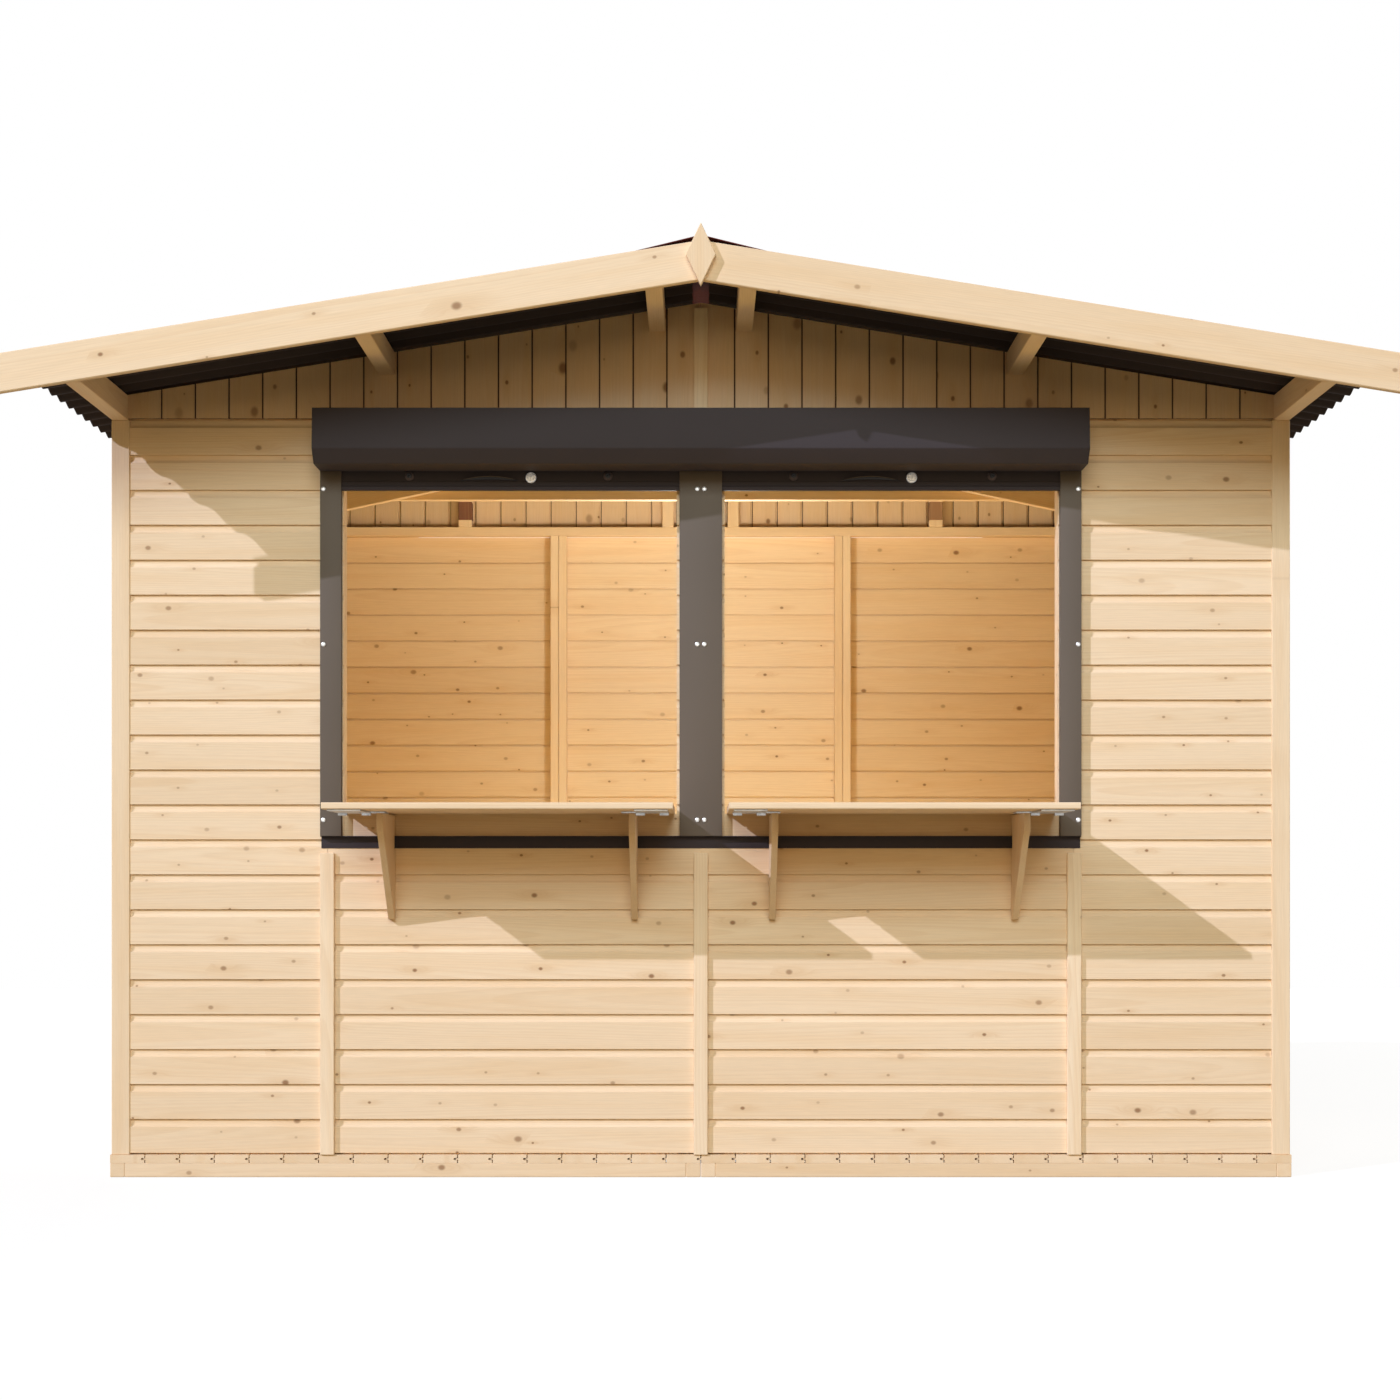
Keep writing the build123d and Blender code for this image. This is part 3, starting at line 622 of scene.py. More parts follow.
def spruce(name, boards, pale=None, knotty=0.62, largest=0.0080, ring_share=0.28, honey_share=0.30, joint_shade=None):
    """Planed spruce with year rings, streaks, knots, fine fibres and, if given, painted shade in its joints."""
    graph = Graph(name)
    pale = tuple(pale or boards.pale)
    place = graph.read("timber")
    tone = graph.read("tone", "Fac")
    heart, halo, radius = knots(graph, place, knotty, 0.0026, largest)
    bulge = graph.sum("MULTIPLY", graph.sum("MULTIPLY", halo, halo), graph.sum("MULTIPLY", radius, 1.6))
    sway = graph.fade(graph.noise(place, (1.1, 9.0, 9.0), detail=1.0), 0.0, 1.0, -0.007, 0.007, smooth=False)
    pith = graph.vector("LENGTH", graph.vector("MULTIPLY", place, (0.0, 1.0, 1.0)))
    radial = graph.sum("ADD", graph.sum("ADD", pith, sway), bulge)
    count = graph.sum("DIVIDE", radial, 0.0036)
    part = graph.sum("FRACT", count)
    rise = graph.fade(part, 0.25, 0.88)
    drop = graph.fade(part, 0.90, 1.0, 1.0, 0.0)
    year = graph.add("ShaderNodeTexWhiteNoise", {"W": graph.sum("FLOOR", count)}, noise_dimensions="1D")
    vigour = graph.fade(year.outputs["Value"], 0.0, 1.0, 0.35, 1.0, smooth=False)
    ring = graph.sum("MULTIPLY", graph.sum("MULTIPLY", rise, drop), vigour)
    fibre = graph.noise(place, (18.0, 620.0, 620.0), detail=1.0)
    patch = graph.fade(graph.noise(place, (1.6, 26.0, 26.0)), 0.42, 0.72)
    base = graph.blend(graph.sum("MULTIPLY", ring, ring_share), pale, tuple(boards.late))
    golden = graph.sum("ADD", graph.sum("MULTIPLY", patch, honey_share), graph.fade(tone, 0.0, 1.0, 0.36, 0.0))
    base = graph.blend(golden, base, tuple(boards.honey))
    grey = graph.sum("MULTIPLY", graph.fade(tone, 0.0, 1.0, 0.93, 1.03, smooth=False),
                     graph.fade(fibre, 0.25, 0.75, 0.955, 1.03, smooth=False))
    shade = graph.add("ShaderNodeCombineColor", {"Red": grey, "Green": grey, "Blue": grey}).outputs["Color"]
    base = graph.blend(1.0, base, shade, mode="MULTIPLY")
    base = graph.blend(graph.sum("MULTIPLY", halo, 0.40), base, tuple(boards.late))
    base = graph.blend(graph.sum("MULTIPLY", heart, 0.85), base, tuple(boards.knot))
    # Painted shade in the joints: the wood behind the arris, down to the tongue, takes the dark joint colour as if in
    # shadow.
    if joint_shade:
        hidden = graph.read("hidden", "Fac")
        start, end = boards.arris, 3 * boards.arris
        tongue_start, tongue_end = (share * cladding for share in TONGUE_SHARES)
        inside = graph.sum("MULTIPLY", graph.fade(hidden, start, end),
                           graph.fade(hidden, tongue_start, tongue_end, 1.0, 0.0))
        base = graph.blend(inside, base, joint_shade)
    rough = graph.fade(ring, 0.0, 1.0, 0.72, 0.60, smooth=False)
    return graph.surface(base, rough, fibre, bump=0.20, relief=0.0004, Specular_IOR_Level=0.14)


def powder_coat(name, tint):
    """Fine-textured powder coat on folded metal."""
    graph = Graph(name)
    place = graph.read("timber")
    grain = graph.noise(place, (900.0, 900.0, 900.0), detail=2.0)
    wash = graph.noise(place, (3.0, 3.0, 3.0), detail=2.0)
    base = graph.blend(graph.fade(wash, 0.3, 0.7, 0.0, 0.35), tint, tuple(0.82 * part for part in tint))
    rough = graph.fade(grain, 0.3, 0.7, 0.50, 0.62, smooth=False)
    return graph.surface(base, rough, grain, bump=0.16, relief=0.0003, Specular_IOR_Level=0.08)


def brushed_metal(name, tint, roughness, heading):
    """Bare metal with fine scratches."""
    graph = Graph(name)
    place = graph.read("timber")
    scratch = graph.noise(place, heading, detail=3.0, roughness=0.6)
    base = graph.blend(graph.fade(scratch, 0.3, 0.7), tint, tuple(0.78 * part for part in tint))
    rough = graph.fade(scratch, 0.3, 0.7, roughness - 0.08, roughness + 0.10, smooth=False)
    return graph.surface(base, rough, scratch, bump=0.12, relief=0.0002, Metallic=0.85)


def matt_rubber(name, tint):
    """Dull black rubber."""
    graph = Graph(name)
    place = graph.read("timber")
    bloom = graph.noise(place, (260.0, 260.0, 260.0), detail=3.0)
    base = graph.blend(graph.fade(bloom, 0.35, 0.75), tint, tuple(1.9 * part for part in tint))
    rough = graph.fade(bloom, 0.3, 0.7, 0.62, 0.80, smooth=False)
    return graph.surface(base, rough, bloom, bump=0.2, relief=0.0003)


def roofing_sheet(name, tint, underside):
    """Matt fibre sheet with a grainy coat, paler where it has weathered and raw below."""
    graph = Graph(name)
    place = graph.read("timber")
    grit = graph.noise(place, (700.0, 700.0, 700.0), detail=3.0, roughness=0.7)
    fibre = graph.noise(place, (60.0, 160.0, 60.0), detail=4.0)
    wash = graph.noise(place, (2.5, 1.2, 2.5), detail=3.0)
    base = graph.blend(graph.fade(grit, 0.35, 0.75), tint, tuple(1.7 * part for part in tint))
    base = graph.blend(graph.fade(wash, 0.35, 0.75, 0.0, 0.5), base, tuple(0.6 * part for part in tint))
    facing = graph.add("ShaderNodeNewGeometry").outputs["Normal"]
    up = graph.add("ShaderNodeSeparateXYZ", {"Vector": facing}).outputs["Z"]
    base = graph.blend(graph.fade(up, -0.45, -0.15, 1.0, 0.0), base, underside)
    height = graph.sum("ADD", grit, fibre)
    return graph.surface(base, 0.88, height, bump=0.5, relief=0.0009, Specular_IOR_Level=0.18)


# Pieces of the stall

def build_floor(boards):
    """Bearers and rails under tongued boards."""
    timber = Solids(11)
    add_timbers(timber, "floor_bearers", boards.easing)
    add_timbers(timber, "floor_rails", boards.easing)
    frame_wood = spruce("floor_frame_spruce", boards)
    timber.finish("floor_frame", frame_wood, "frame_timber", "floor_bearers", "floor_rails")

    deck = Solids(12)
    low, high = box["floor_deck"]
    thick = high.z - low.z
    half = high.x
    cover = half / boards.floor_boards
    for row in range(-boards.floor_boards, boards.floor_boards):
        left, right = row * cover, (row + 1) * cover
        sections = []
        for gap in (boards.floor_gap, boards.floor_tight):
            lower = plain_edge(left, thick, boards) if row == -boards.floor_boards else (
                tongue_first(left, thick, gap, boards))
            upper = plain_edge(right, thick, boards)[::-1] if row == boards.floor_boards - 1 else (
                groove_last(right, thick, gap, boards))
            sections.append(lower + upper)
        stops = (low.y, low.y + boards.floor_open, high.y - boards.floor_open, high.y)
        place = lambda w, d, l: (w, l, high.z - d)
        board = run_through(sections + sections[::-1], place, stops)
        tree = deck.tree((0, 1, 0), (0, 0, 1), ((left + right) / 2, 0, high.z))
        deck.add(board, tree)
    deck.finish("floor_boards", spruce("floor_spruce", boards), "floor_boards", "floor_deck")


def tongue_first(w, thick, gap, boards):
    """Left edge of a floor board, from its face to its back, with a tongue."""
    mirrored = tongued_edge(-w, thick, gap, boards)
    return [(-across, depth) for across, depth in reversed(mirrored)]


def groove_last(w, thick, gap, boards):
    """Right edge of a floor board, from its back to its face, with a groove."""
    mirrored = grooved_edge(-w, thick, gap, boards, 0.0)
    return [(-across, depth) for across, depth in reversed(mirrored)]


def add_wall(solids, boards, place, along, depth, spans, hatches=(), tones=((0.35, 1.0),)):
    """Rows of coved boards, sawn off round any hatches, with a range of tones for each span in turn."""
    cover = (wall_top - wall_foot) / boards.wall_rows
    for index, (start, end) in enumerate(spans):
        for row in range(boards.wall_rows):
            low = wall_foot + row * cover + (0 if row else boards.wall_foot_gap)
            high = wall_foot + (row + 1) * cover
            middle = place((low + high) / 2, 0.0, (start + end) / 2)
            tree = solids.tree(along, depth, middle, tones[index % len(tones)])
            for left, right, foot, head, cut_low, cut_high in cut_round(start, end, low, high, hatches):
                section = wall_section(foot, head, boards, cut_low, cut_high, row == boards.wall_rows - 1)
                solids.add(run_out(section, place, (left, right)), tree)


def cut_round(start, end, low, high, hatches):
    """Parts of a board that are left round a hatch: ends, foot, head and which edges are sawn."""
    for left, right, sill, head in hatches:
        if start < left and right < end and low < head and sill < high:
            yield start, left, low, high, False, False
            yield right, end, low, high, False, False
            if low < sill:
                yield left, right, low, sill, False, True
            if head < high:
                yield left, right, head, high, True, False
            return
    yield start, end, low, high, False, False


def build_walls(boards):
    """Coved boards of all four walls."""
    rails = [corners(rail) for rail in packed_solids("hatch_rails")]
    sill = min(high.z for low, high in rails)
    head = max(low.z for low, high in rails)
    hatches = {(low.x, high.x, sill, head) for low, high in rails}
    wood = spruce("wall_spruce", boards)

    front = Solids(21)
    panels = ("front_panel_left", "front_panel_right", "hatch_panel_left", "hatch_panel_right")
    spans = [(box[panel][0].x, box[panel][1].x) for panel in panels]
    add_wall(front, boards, lambda w, d, l: Vector((l, d - face_y, w)), (1, 0, 0), (0, 1, 0), spans, hatches)
    front.finish("front_boards", wood, "wall_boards", *panels)

    back = Solids(22)
    panels = ("back_panel_left", "back_panel_middle", "back_panel_right")
    spans = [(box[panel][0].x, box[panel][1].x) for panel in panels]
    tones = ((0.0, 0.45), (0.75, 1.0), (0.0, 0.45))
    place = lambda w, d, l: Vector((l, face_y - d, w))
    add_wall(back, boards, place, (1, 0, 0), (0, 1, 0), spans, tones=tones)
    back.finish("back_boards", wood, "wall_boards", *panels)

    sides = Solids(23)
    for panel, side in (("side_wall_left", -1), ("side_wall_right", 1)):
        spans = [(box[panel][0].y, box[panel][1].y)]
        place = lambda w, d, l, side=side: Vector((side * (face_x - d), l, w))
        add_wall(sides, boards, place, (0, 1, 0), (1, 0, 0), spans)
    sides.finish("side_boards", wood, "wall_boards", "side_wall_left", "side_wall_right")


def build_frame(boards):
    """Studs and rails behind the boards, corner trims and cover battens."""
    studs = Solids(31)
    nodes = ("front_studs", "back_studs", "side_studs", "hatch_rails")
    for node in nodes:
        add_timbers(studs, node, boards.easing)
    wood = spruce("frame_spruce", boards, knotty=0.16, largest=0.0050)
    studs.finish("wall_studs", wood, "frame_timber", *nodes)

    trims = Solids(32)
    add_timbers(trims, "corner_trims", boards.easing)
    trim_wood = spruce("trim_spruce", boards, pale=boards.trim_pale)
    trims.finish("corner_mouldings", trim_wood, "trim_timber", "corner_trims")

    battens = Solids(33)
    nodes = ("front_battens", "back_battens", "gable_battens")
    for node in nodes:
        add_timbers(battens, node, boards.easing)
    battens.finish("cover_battens", trim_wood, "trim_timber", *nodes)


def build_gables(boards):
    """Upright boards of the gables, and the rails and posts behind them."""
    # Dark colour for the painted shade in the gaps between the gable boards.
    joint_shade = tuple(boards.gable_joint_shade)
    wood = spruce("gable_spruce", boards, pale=boards.gable_pale_shaded, knotty=0.75, largest=0.0125, joint_shade=joint_shade)
    gables = Solids(41)
    purlins = [corners(purlin) for purlin in packed_solids("purlins")]
    notches = [(low.x, high.x, low.z) for low, high in purlins if abs(low.x + high.x) / 2 < gable_far]
    cover = (gable_far - gable_near) / boards.gable_boards
    for end in (-1, 1):
        place = lambda w, d, l, end=end: Vector((w, end * (face_y - d), l))
        for side in (-1, 1):
            for board in range(boards.gable_boards):
                edges = sorted(side * (gable_near + (board + step) * cover) for step in (0, 1))
                outermost = board == boards.gable_boards - 1
                add_gable_board(gables, boards, place, *edges, notches, side, outermost, board == 0)
    nodes = [f"{end}_gable_{side}" for end in ("front", "back") for side in ("left", "right")]
    gables.finish("gable_cladding", wood, "gable_boards", *nodes)

    timbers = Solids(42)
    add_timbers(timbers, "gable_rails", boards.easing)
    add_timbers(timbers, "gable_posts", boards.easing, along=(0, 0, 1))
    frame_wood = spruce("gable_frame_spruce", boards, knotty=0.16, largest=0.0050)
    timbers.finish("gable_timbers", frame_wood, "frame_timber", "gable_rails", "gable_posts")

    blocks = Solids(43)
    add_timbers(blocks, "purlin_blocks", boards.easing, along=(0, 0, 1))
    stained = spruce("stained_spruce", boards, pale=boards.stain, ring_share=0.10, honey_share=0.0)
    blocks.finish("stained_blocks", stained, "stained_block", "purlin_blocks")


def add_gable_board(solids, boards, place, left, right, notches, side, outermost, innermost):
    """One upright board, its top sawn to the roof and round the purlins."""
    gap = boards.gable_gap
    tree = solids.tree((0, 0, 1), (0, 1, 0), place((left + right) / 2, 0.0, wall_top))
    stops = {left, right}
    for near, far, foot in notches:
        stops |= {stop for stop in (near, far) if left < stop < right}
    stops = sorted(stops)
    for start, end in zip(stops, stops[1:]):
        middle = (start + end) / 2
        feet = [foot for near, far, foot in notches if near < middle < far]
        sawn_start = start > left or (outermost and side < 0) or (innermost and side > 0)
        sawn_end = end < right or (outermost and side > 0) or (innermost and side < 0)
        lower = plain_edge(start, cladding, boards) if sawn_start else grooved_edge(start, cladding, gap, boards)
        upper = plain_edge(end, cladding, boards)[::-1] if sawn_end else tongued_edge(end, cladding, gap, boards)
        top = feet[0] if feet else roof_height
        solids.add(run_out(lower + upper, place, (wall_top + boards.gable_foot, top)), tree)


def build_roof_frame(boards):
    """Purlins, truss, bargeboards and finials."""
    wood = spruce("purlin_spruce", boards, knotty=0.25, largest=0.0060)
    purlins = Solids(51)
    add_timbers(purlins, "purlins", boards.easing)
    purlins.finish("purlin_timbers", wood, "frame_timber", "purlins")

    truss = Solids(52)
    add_timbers(truss, "truss_rafters", boards.easing)
    add_timbers(truss, "truss_tie", boards.easing)
    truss.finish("truss_timbers", wood, "frame_timber", "truss_rafters", "truss_tie")

    trim_wood = spruce("bargeboard_spruce", boards, largest=0.0125)
    barges = Solids(53)
    add_timbers(barges, "front_bargeboards", 1.4 * boards.easing)
    add_timbers(barges, "back_bargeboards", 1.4 * boards.easing)
    barges.finish("verge_boards", trim_wood, "trim_timber", "front_bargeboards", "back_bargeboards")

    finials = Solids(54)
    for node in ("front_finial", "back_finial"):
        add_timbers(finials, node, boards.easing, along=(0, 0, 1))
    finial_wood = spruce("finial_spruce", boards, knotty=0.0)
    finials.finish("diamond_finials", finial_wood, "trim_timber", "front_finial", "back_finial")


def build_roof(roof):
    """Corrugated sheets, ridge cover and roofing nails."""
    skin = roofing_sheet("wine_red_sheet", tuple(roof.sheet), tuple(roof.underside))
    sheets = Solids(61)
    for side in (-1, 1):
        sheets.add(corrugated_sheet(roof, side))
    sheets.finish("corrugated_sheets", skin, "roof_sheet", "roof_sheet_left", "roof_sheet_right", crease=50.0)

    cover = Solids(62)
    cover.add(ridge_cover(roof))
    cover_skin = roofing_sheet("ridge_sheet", tuple(roof.sheet), tuple(0.7 * part for part in roof.sheet))
    cover.finish("ridge_cover", cover_skin, "roof_sheet", "ridge_cap", crease=30.0)

    nails = Solids(63)
    purlins = [corners(purlin) for purlin in packed_solids("purlins")]
    rows = [(low.x + high.x) / 2 for low, high in purlins]
    low, high = box["roof_sheet_right"]
    wave = (high.y - low.y) / roof.waves
    cap = box["ridge_cap"][1].x
    for x in rows:
        if abs(x) < cap:
            continue
        for crest in range(1, roof.waves, 2):
            y = low.y + (crest + 0.75) * wave
            side = math.copysign(1.0, x)
            out = Vector((side * math.sin(pitch), 0, math.cos(pitch)))
            seat = Vector((x, y, roof_height(x))) + out * (roof.wave_height + roof.thickness)
            nails.add(turn(nail_profile(roof), seat, out))
    nails.finish("roofing_nails", skin, "roof_sheet", crease=40.0)


def nail_profile(roof):
    """Radii and heights of a roofing nail's cap."""
    radius, rise = roof.nail_radius, roof.nail_rise
    return [(radius, -0.25 * rise), (radius, 0.25 * rise), (0.82 * radius, 0.7 * rise), (0.4 * radius, rise), (0, rise)]


def corrugated_sheet(roof, side):
    """One slope of waves, as a closed skin."""
    low, high = box["roof_sheet_right"]
    out = Vector((side * math.sin(pitch), 0, math.cos(pitch)))
    down = Vector((side * math.cos(pitch), 0, -math.sin(pitch)))
    top = Vector((side * roof.ridge_gap, 0, roof_height(roof.ridge_gap)))
    rise = roof.wave_height + roof.thickness
    run = (high.x - rise * math.sin(pitch) - roof.ridge_gap) / math.cos(pitch)
    columns = roof.waves * roof.wave_steps
    outline = []
    for column in range(columns + 1):
        y = low.y + (high.y - low.y) * column / columns
        swing = -math.sin(2 * math.pi * column / roof.wave_steps)
        outline.append((y, roof.wave_height / 2 * (1 + swing)))
    outline += [(y, level_here + roof.thickness) for y, level_here in reversed(outline)]
    return run_out(outline, lambda y, h, l: top + down * l + out * h + Vector((0, y, 0)), (0.0, run))


def ridge_cover(roof):
    """Folded cover over the ridge, with a rounded bend."""
    low, high = box["ridge_cap"]
    peak = roof_height(0) + roof.cover_rise
    fall = (peak - low.z) / high.x
    bend = roof.cover_bend

    def crown(x):
        if abs(x) > bend:
            return peak - fall * abs(x)
        return peak - fall * (bend / 2 + x * x / (2 * bend))

    stops = [high.x, 0.6 * high.x, 0.3 * high.x, bend]
    stops += [bend * step / 6 for step in range(5, 0, -1)]
    xs = [-x for x in stops] + [0.0] + stops[::-1]
    outline = [(x, crown(x)) for x in xs]
    outline += [(x, crown(x) + roof.cover_skin) for x in reversed(xs)]
    return run_out(outline, lambda x, h, l: Vector((x, l, h)), (low.y, high.y))


def build_shutter(shutter):
    """Shutter box, guides, sill angle and end slats."""
    coat = powder_coat("grey_powder_coat", tuple(shutter.coat))
    case = Solids(71)
    low, high = box["shutter_box"]
    section = box_section(shutter, low, high)
    inner = [(y + shutter.end_reveal * share, z) for y, z, share in section]
    plate = [(y, z) for y, z, share in section]
    place = lambda y, z, l: Vector((l, y, z))
    case.add(run_out(inner, place, (low.x + shutter.end_plate, high.x - shutter.end_plate)))
    case.add(run_out(plate, place, (low.x, low.x + shutter.end_plate)))
    case.add(run_out(plate, place, (high.x - shutter.end_plate, high.x)))
    case.finish("shutter_housing", coat, "shutter_metal", "shutter_box", crease=22.0)

    guides = Solids(72)
    for part in packed_solids("guide_rails"):
        for corner in part.verts:
            if abs(corner.co.x) < shutter.metal_easing:
                corner.co.x = 0.0
        ease(part, shutter.metal_easing, steps=2, spare=in_the_middle)
        guides.add(part)
    # The guides take the paler coat as painted sunlit sheen.
    lit_guide_coat = powder_coat("guide_coat_painted_sheen", tuple(shutter.lit_guide_coat))
    guides.finish("shutter_guides", lit_guide_coat, "shutter_metal", "guide_rails")

    angle = Solids(75)
    for part in packed_solids("shutter_sill"):
        ease(part, 0.4 * shutter.metal_easing, steps=2)
        angle.add(part)
    angle.finish("sill_angle", coat, "shutter_metal", "shutter_sill")

    slats = Solids(73)
    for part in packed_solids("end_slats"):
        add_slat(slats, shutter, *corners(part))
    slats.finish("slat_bars", coat, "shutter_metal", "end_slats")

    screws = Solids(74)
    rail_low, rail_high = box["guide_rails"]
    for rail in packed_solids("guide_rails"):
        near, far = corners(rail)
        outside = math.copysign(1.0, near.x + far.x)
        at_middle = abs(near.x + far.x) < abs(far.x - near.x) * 1.5
        edge = (near.x if outside > 0 else far.x) if at_middle else (far.x if outside > 0 else near.x)
        inward = outside if at_middle else -outside
        for share in (0.044, 0.525, 0.951):
            z = near.z + share * (far.z - near.z)
            screws.add(turn(screw_profile(shutter), (edge + inward * shutter.screw_inset, near.y, z)))
    steel = brushed_metal("bright_steel", tuple(shutter.steel), 0.38, (900.0, 60.0, 60.0))
    screws.finish("guide_screws", steel, "lock_steel")


def in_the_middle(edge):
    """Whether an edge lies in the plane where the two middle guides meet."""
    return all(abs(corner.co.x) < WELD for corner in edge.verts)


def box_section(shutter, low, high):
    """Outline of the shutter box: depth, height and how much of the reveal each point takes."""
    back = -face_y
    upper_back, lower_back = (back, high.z), (back, low.z)
    top = (back - shutter.box_top_depth, high.z)
    belly = (low.y, high.z - shutter.box_fold_drop)
    foot = (back - shutter.box_foot_depth, low.z)
    corner_run = ((upper_back, top, belly), (top, belly, foot), (belly, foot, lower_back))
    bends = [point for run in corner_run for point in fold(*run, shutter.box_bend)]
    return [(*lower_back, 0.0), (*upper_back, 0.0)] + [(*bend, 1.0) for bend in bends]


def add_slat(slats, shutter, low, high):
    """End slat with a seam above its foot bar, and the lip in front of it."""
    front = low.y
    inner = front + 0.003
    seam = low.z + shutter.seam_height
    half = shutter.seam_width / 2
    body = [
        (high.y, low.z),
        (inner, low.z),
        (inner, seam - half),
        (inner + shutter.seam_depth, seam - half),
        (inner + shutter.seam_depth, seam + half),
        (inner, seam + half),
        (inner, high.z),
        (high.y, high.z),
    ]
    place = lambda y, z, l: Vector((l, y, z))
    slats.add(run_out(body, place, (low.x, high.x)))
    for guide in packed_solids("guide_rails"):
        near, far = corners(guide)
        if near.x < low.x < far.x:
            left = far.x
        if near.x < high.x < far.x:
            right = near.x
    play = 0.001
    round_edge = 0.0012
    lip = [
        (inner, low.z),
        (front + round_edge, low.z),
        (front, low.z + round_edge),
        (front, low.z + shutter.foot_height - 2 * round_edge),
        (front + 2 * round_edge, low.z + shutter.foot_height),
        (inner, low.z + shutter.foot_height),
    ]
    slats.add(run_out(lip, place, (left + play, right - play)))


def screw_profile(shutter):
    """Radii and heights of a round-headed screw with a socket."""
    radius = shutter.screw_radius
    shares = ((1.0, 0.0), (1.0, 0.12), (0.9, 0.34), (0.62, 0.52), (0.36, 0.58), (0.30, 0.30), (0.0, 0.26))
    return [(radius * across, radius * up) for across, up in shares]


def build_fittings(shutter):
    """Stops, locks and pulls on the end slats."""
    front = box["slat_stops"][1].y
    rubber = matt_rubber("black_rubber", tuple(shutter.rubber))
    stops = Solids(81)
    for stop in packed_solids("slat_stops"):
        low, high = corners(stop)
        radius, reach = (high.z - low.z) / 2, high.y - low.y
        shares = ((1.0, 0.0), (1.0, 0.72), (0.93, 0.90), (0.72, 1.0), (0.42, 1.0), (0.36, 0.72), (0.0, 0.72))
        profile = [(radius * across, reach * out) for across, out in shares]
        stops.add(turn(profile, ((low.x + high.x) / 2, front, (low.z + high.z) / 2)))
    stops.finish("rubber_stops", rubber, "stop_rubber", "slat_stops")

    pulls = Solids(82)
    for pull in packed_solids("slat_pulls"):
        ease(pull, 0.0008)
        pulls.add(pull)
    pulls.finish("pull_bows", rubber, "stop_rubber", "slat_pulls", crease=30.0)

    collars = Solids(84)
    for stop in packed_solids("slat_stops"):
        low, high = corners(stop)
        foot, neck, reach = shutter.collar_radius, (high.z - low.z) / 2, shutter.collar_reach
        profile = [(foot, 0.0), (foot, 0.25 * reach), (0.5 * (foot + neck), 0.8 * reach), (neck, reach), (0.0, reach)]
        collars.add(turn(profile, ((low.x + high.x) / 2, front, (low.z + high.z) / 2)))
    collar_coat = powder_coat("collar_coat", tuple(2.2 * part for part in shutter.coat))
    collars.finish("stop_collars", collar_coat, "shutter_metal", crease=35.0)

    # Rims in the paler guide coat: a painted highlight along the top edge of each pull.
    rims = Solids(85)
    for pull in packed_solids("slat_pulls"):
        rims.add(pull_rim(shutter, *corners(pull), front))
    rims.finish("pull_rims", powder_coat("rim_painted_highlight", tuple(shutter.lit_guide_coat)), "shutter_metal", crease=35.0)

    steel = brushed_metal("lock_face_steel", tuple(shutter.lock_steel), 0.42, (60.0, 60.0, 900.0))
    locks = Solids(83)
    for lock in packed_solids("slat_locks"):
        low, high = corners(lock)
        middle = ((low.x + high.x) / 2, (low.z + high.z) / 2)
        add_lock(locks, middle, (high.z - low.z) / 2, front, high.y - low.y)
    locks.finish("cylinder_locks", steel, "lock_steel", "slat_locks", crease=30.0)


def pull_rim(shutter, low, high, front):
    """Slim rim along the crown of a pull, tapering to its ends."""
    half, crown = (high.x - low.x) / 2, high.z - low.z
    radius = (half ** 2 + crown ** 2) / (2 * crown)
    middle = (low.x + high.x) / 2
    shares = [step / ARC_STEPS for step in range(-ARC_STEPS + 1, ARC_STEPS)]
    crest = [(half * share, high.z - radius + math.sqrt(radius ** 2 - (half * share) ** 2)) for share in shares]
    upper = [(middle + x, z + shutter.rim_height * (1 - (x / half) ** 2)) for x, z in crest]
    lower = [(middle + x, z) for x, z in crest]
    return run_out(lower + upper[::-1], lambda x, z, l: Vector((x, l, z)), (front, low.y))


def add_lock(locks, middle, radius, front, reach):
    """Round rose and a core of two halves with the key slot between them."""
    rose_reach = 0.7 * reach
    shares = ((1.0, 0.0), (1.0, 0.55), (0.94, 0.85), (0.86, 1.0), (0.72, 1.0), (0.70, 0.40), (0.0, 0.40))
    rose = [(radius * across, rose_reach * out) for across, out in shares]
    locks.add(turn(rose, (middle[0], front, middle[1])))
    core = 0.55 * radius
    slot = 0.09 * radius
    opening = math.asin(slot / core)
    for side in (-1, 1):
        edge = arc((0.0, 0.0), core, -math.pi / 2 + opening, math.pi / 2 - opening, 14)
        outline = [(middle[0] + side * x, middle[1] + z) for x, z in edge]
        near, far = front - 0.40 * rose_reach, front - reach
        locks.add(run_out(outline, lambda x, z, l: Vector((x, l, z)), (near, far)))


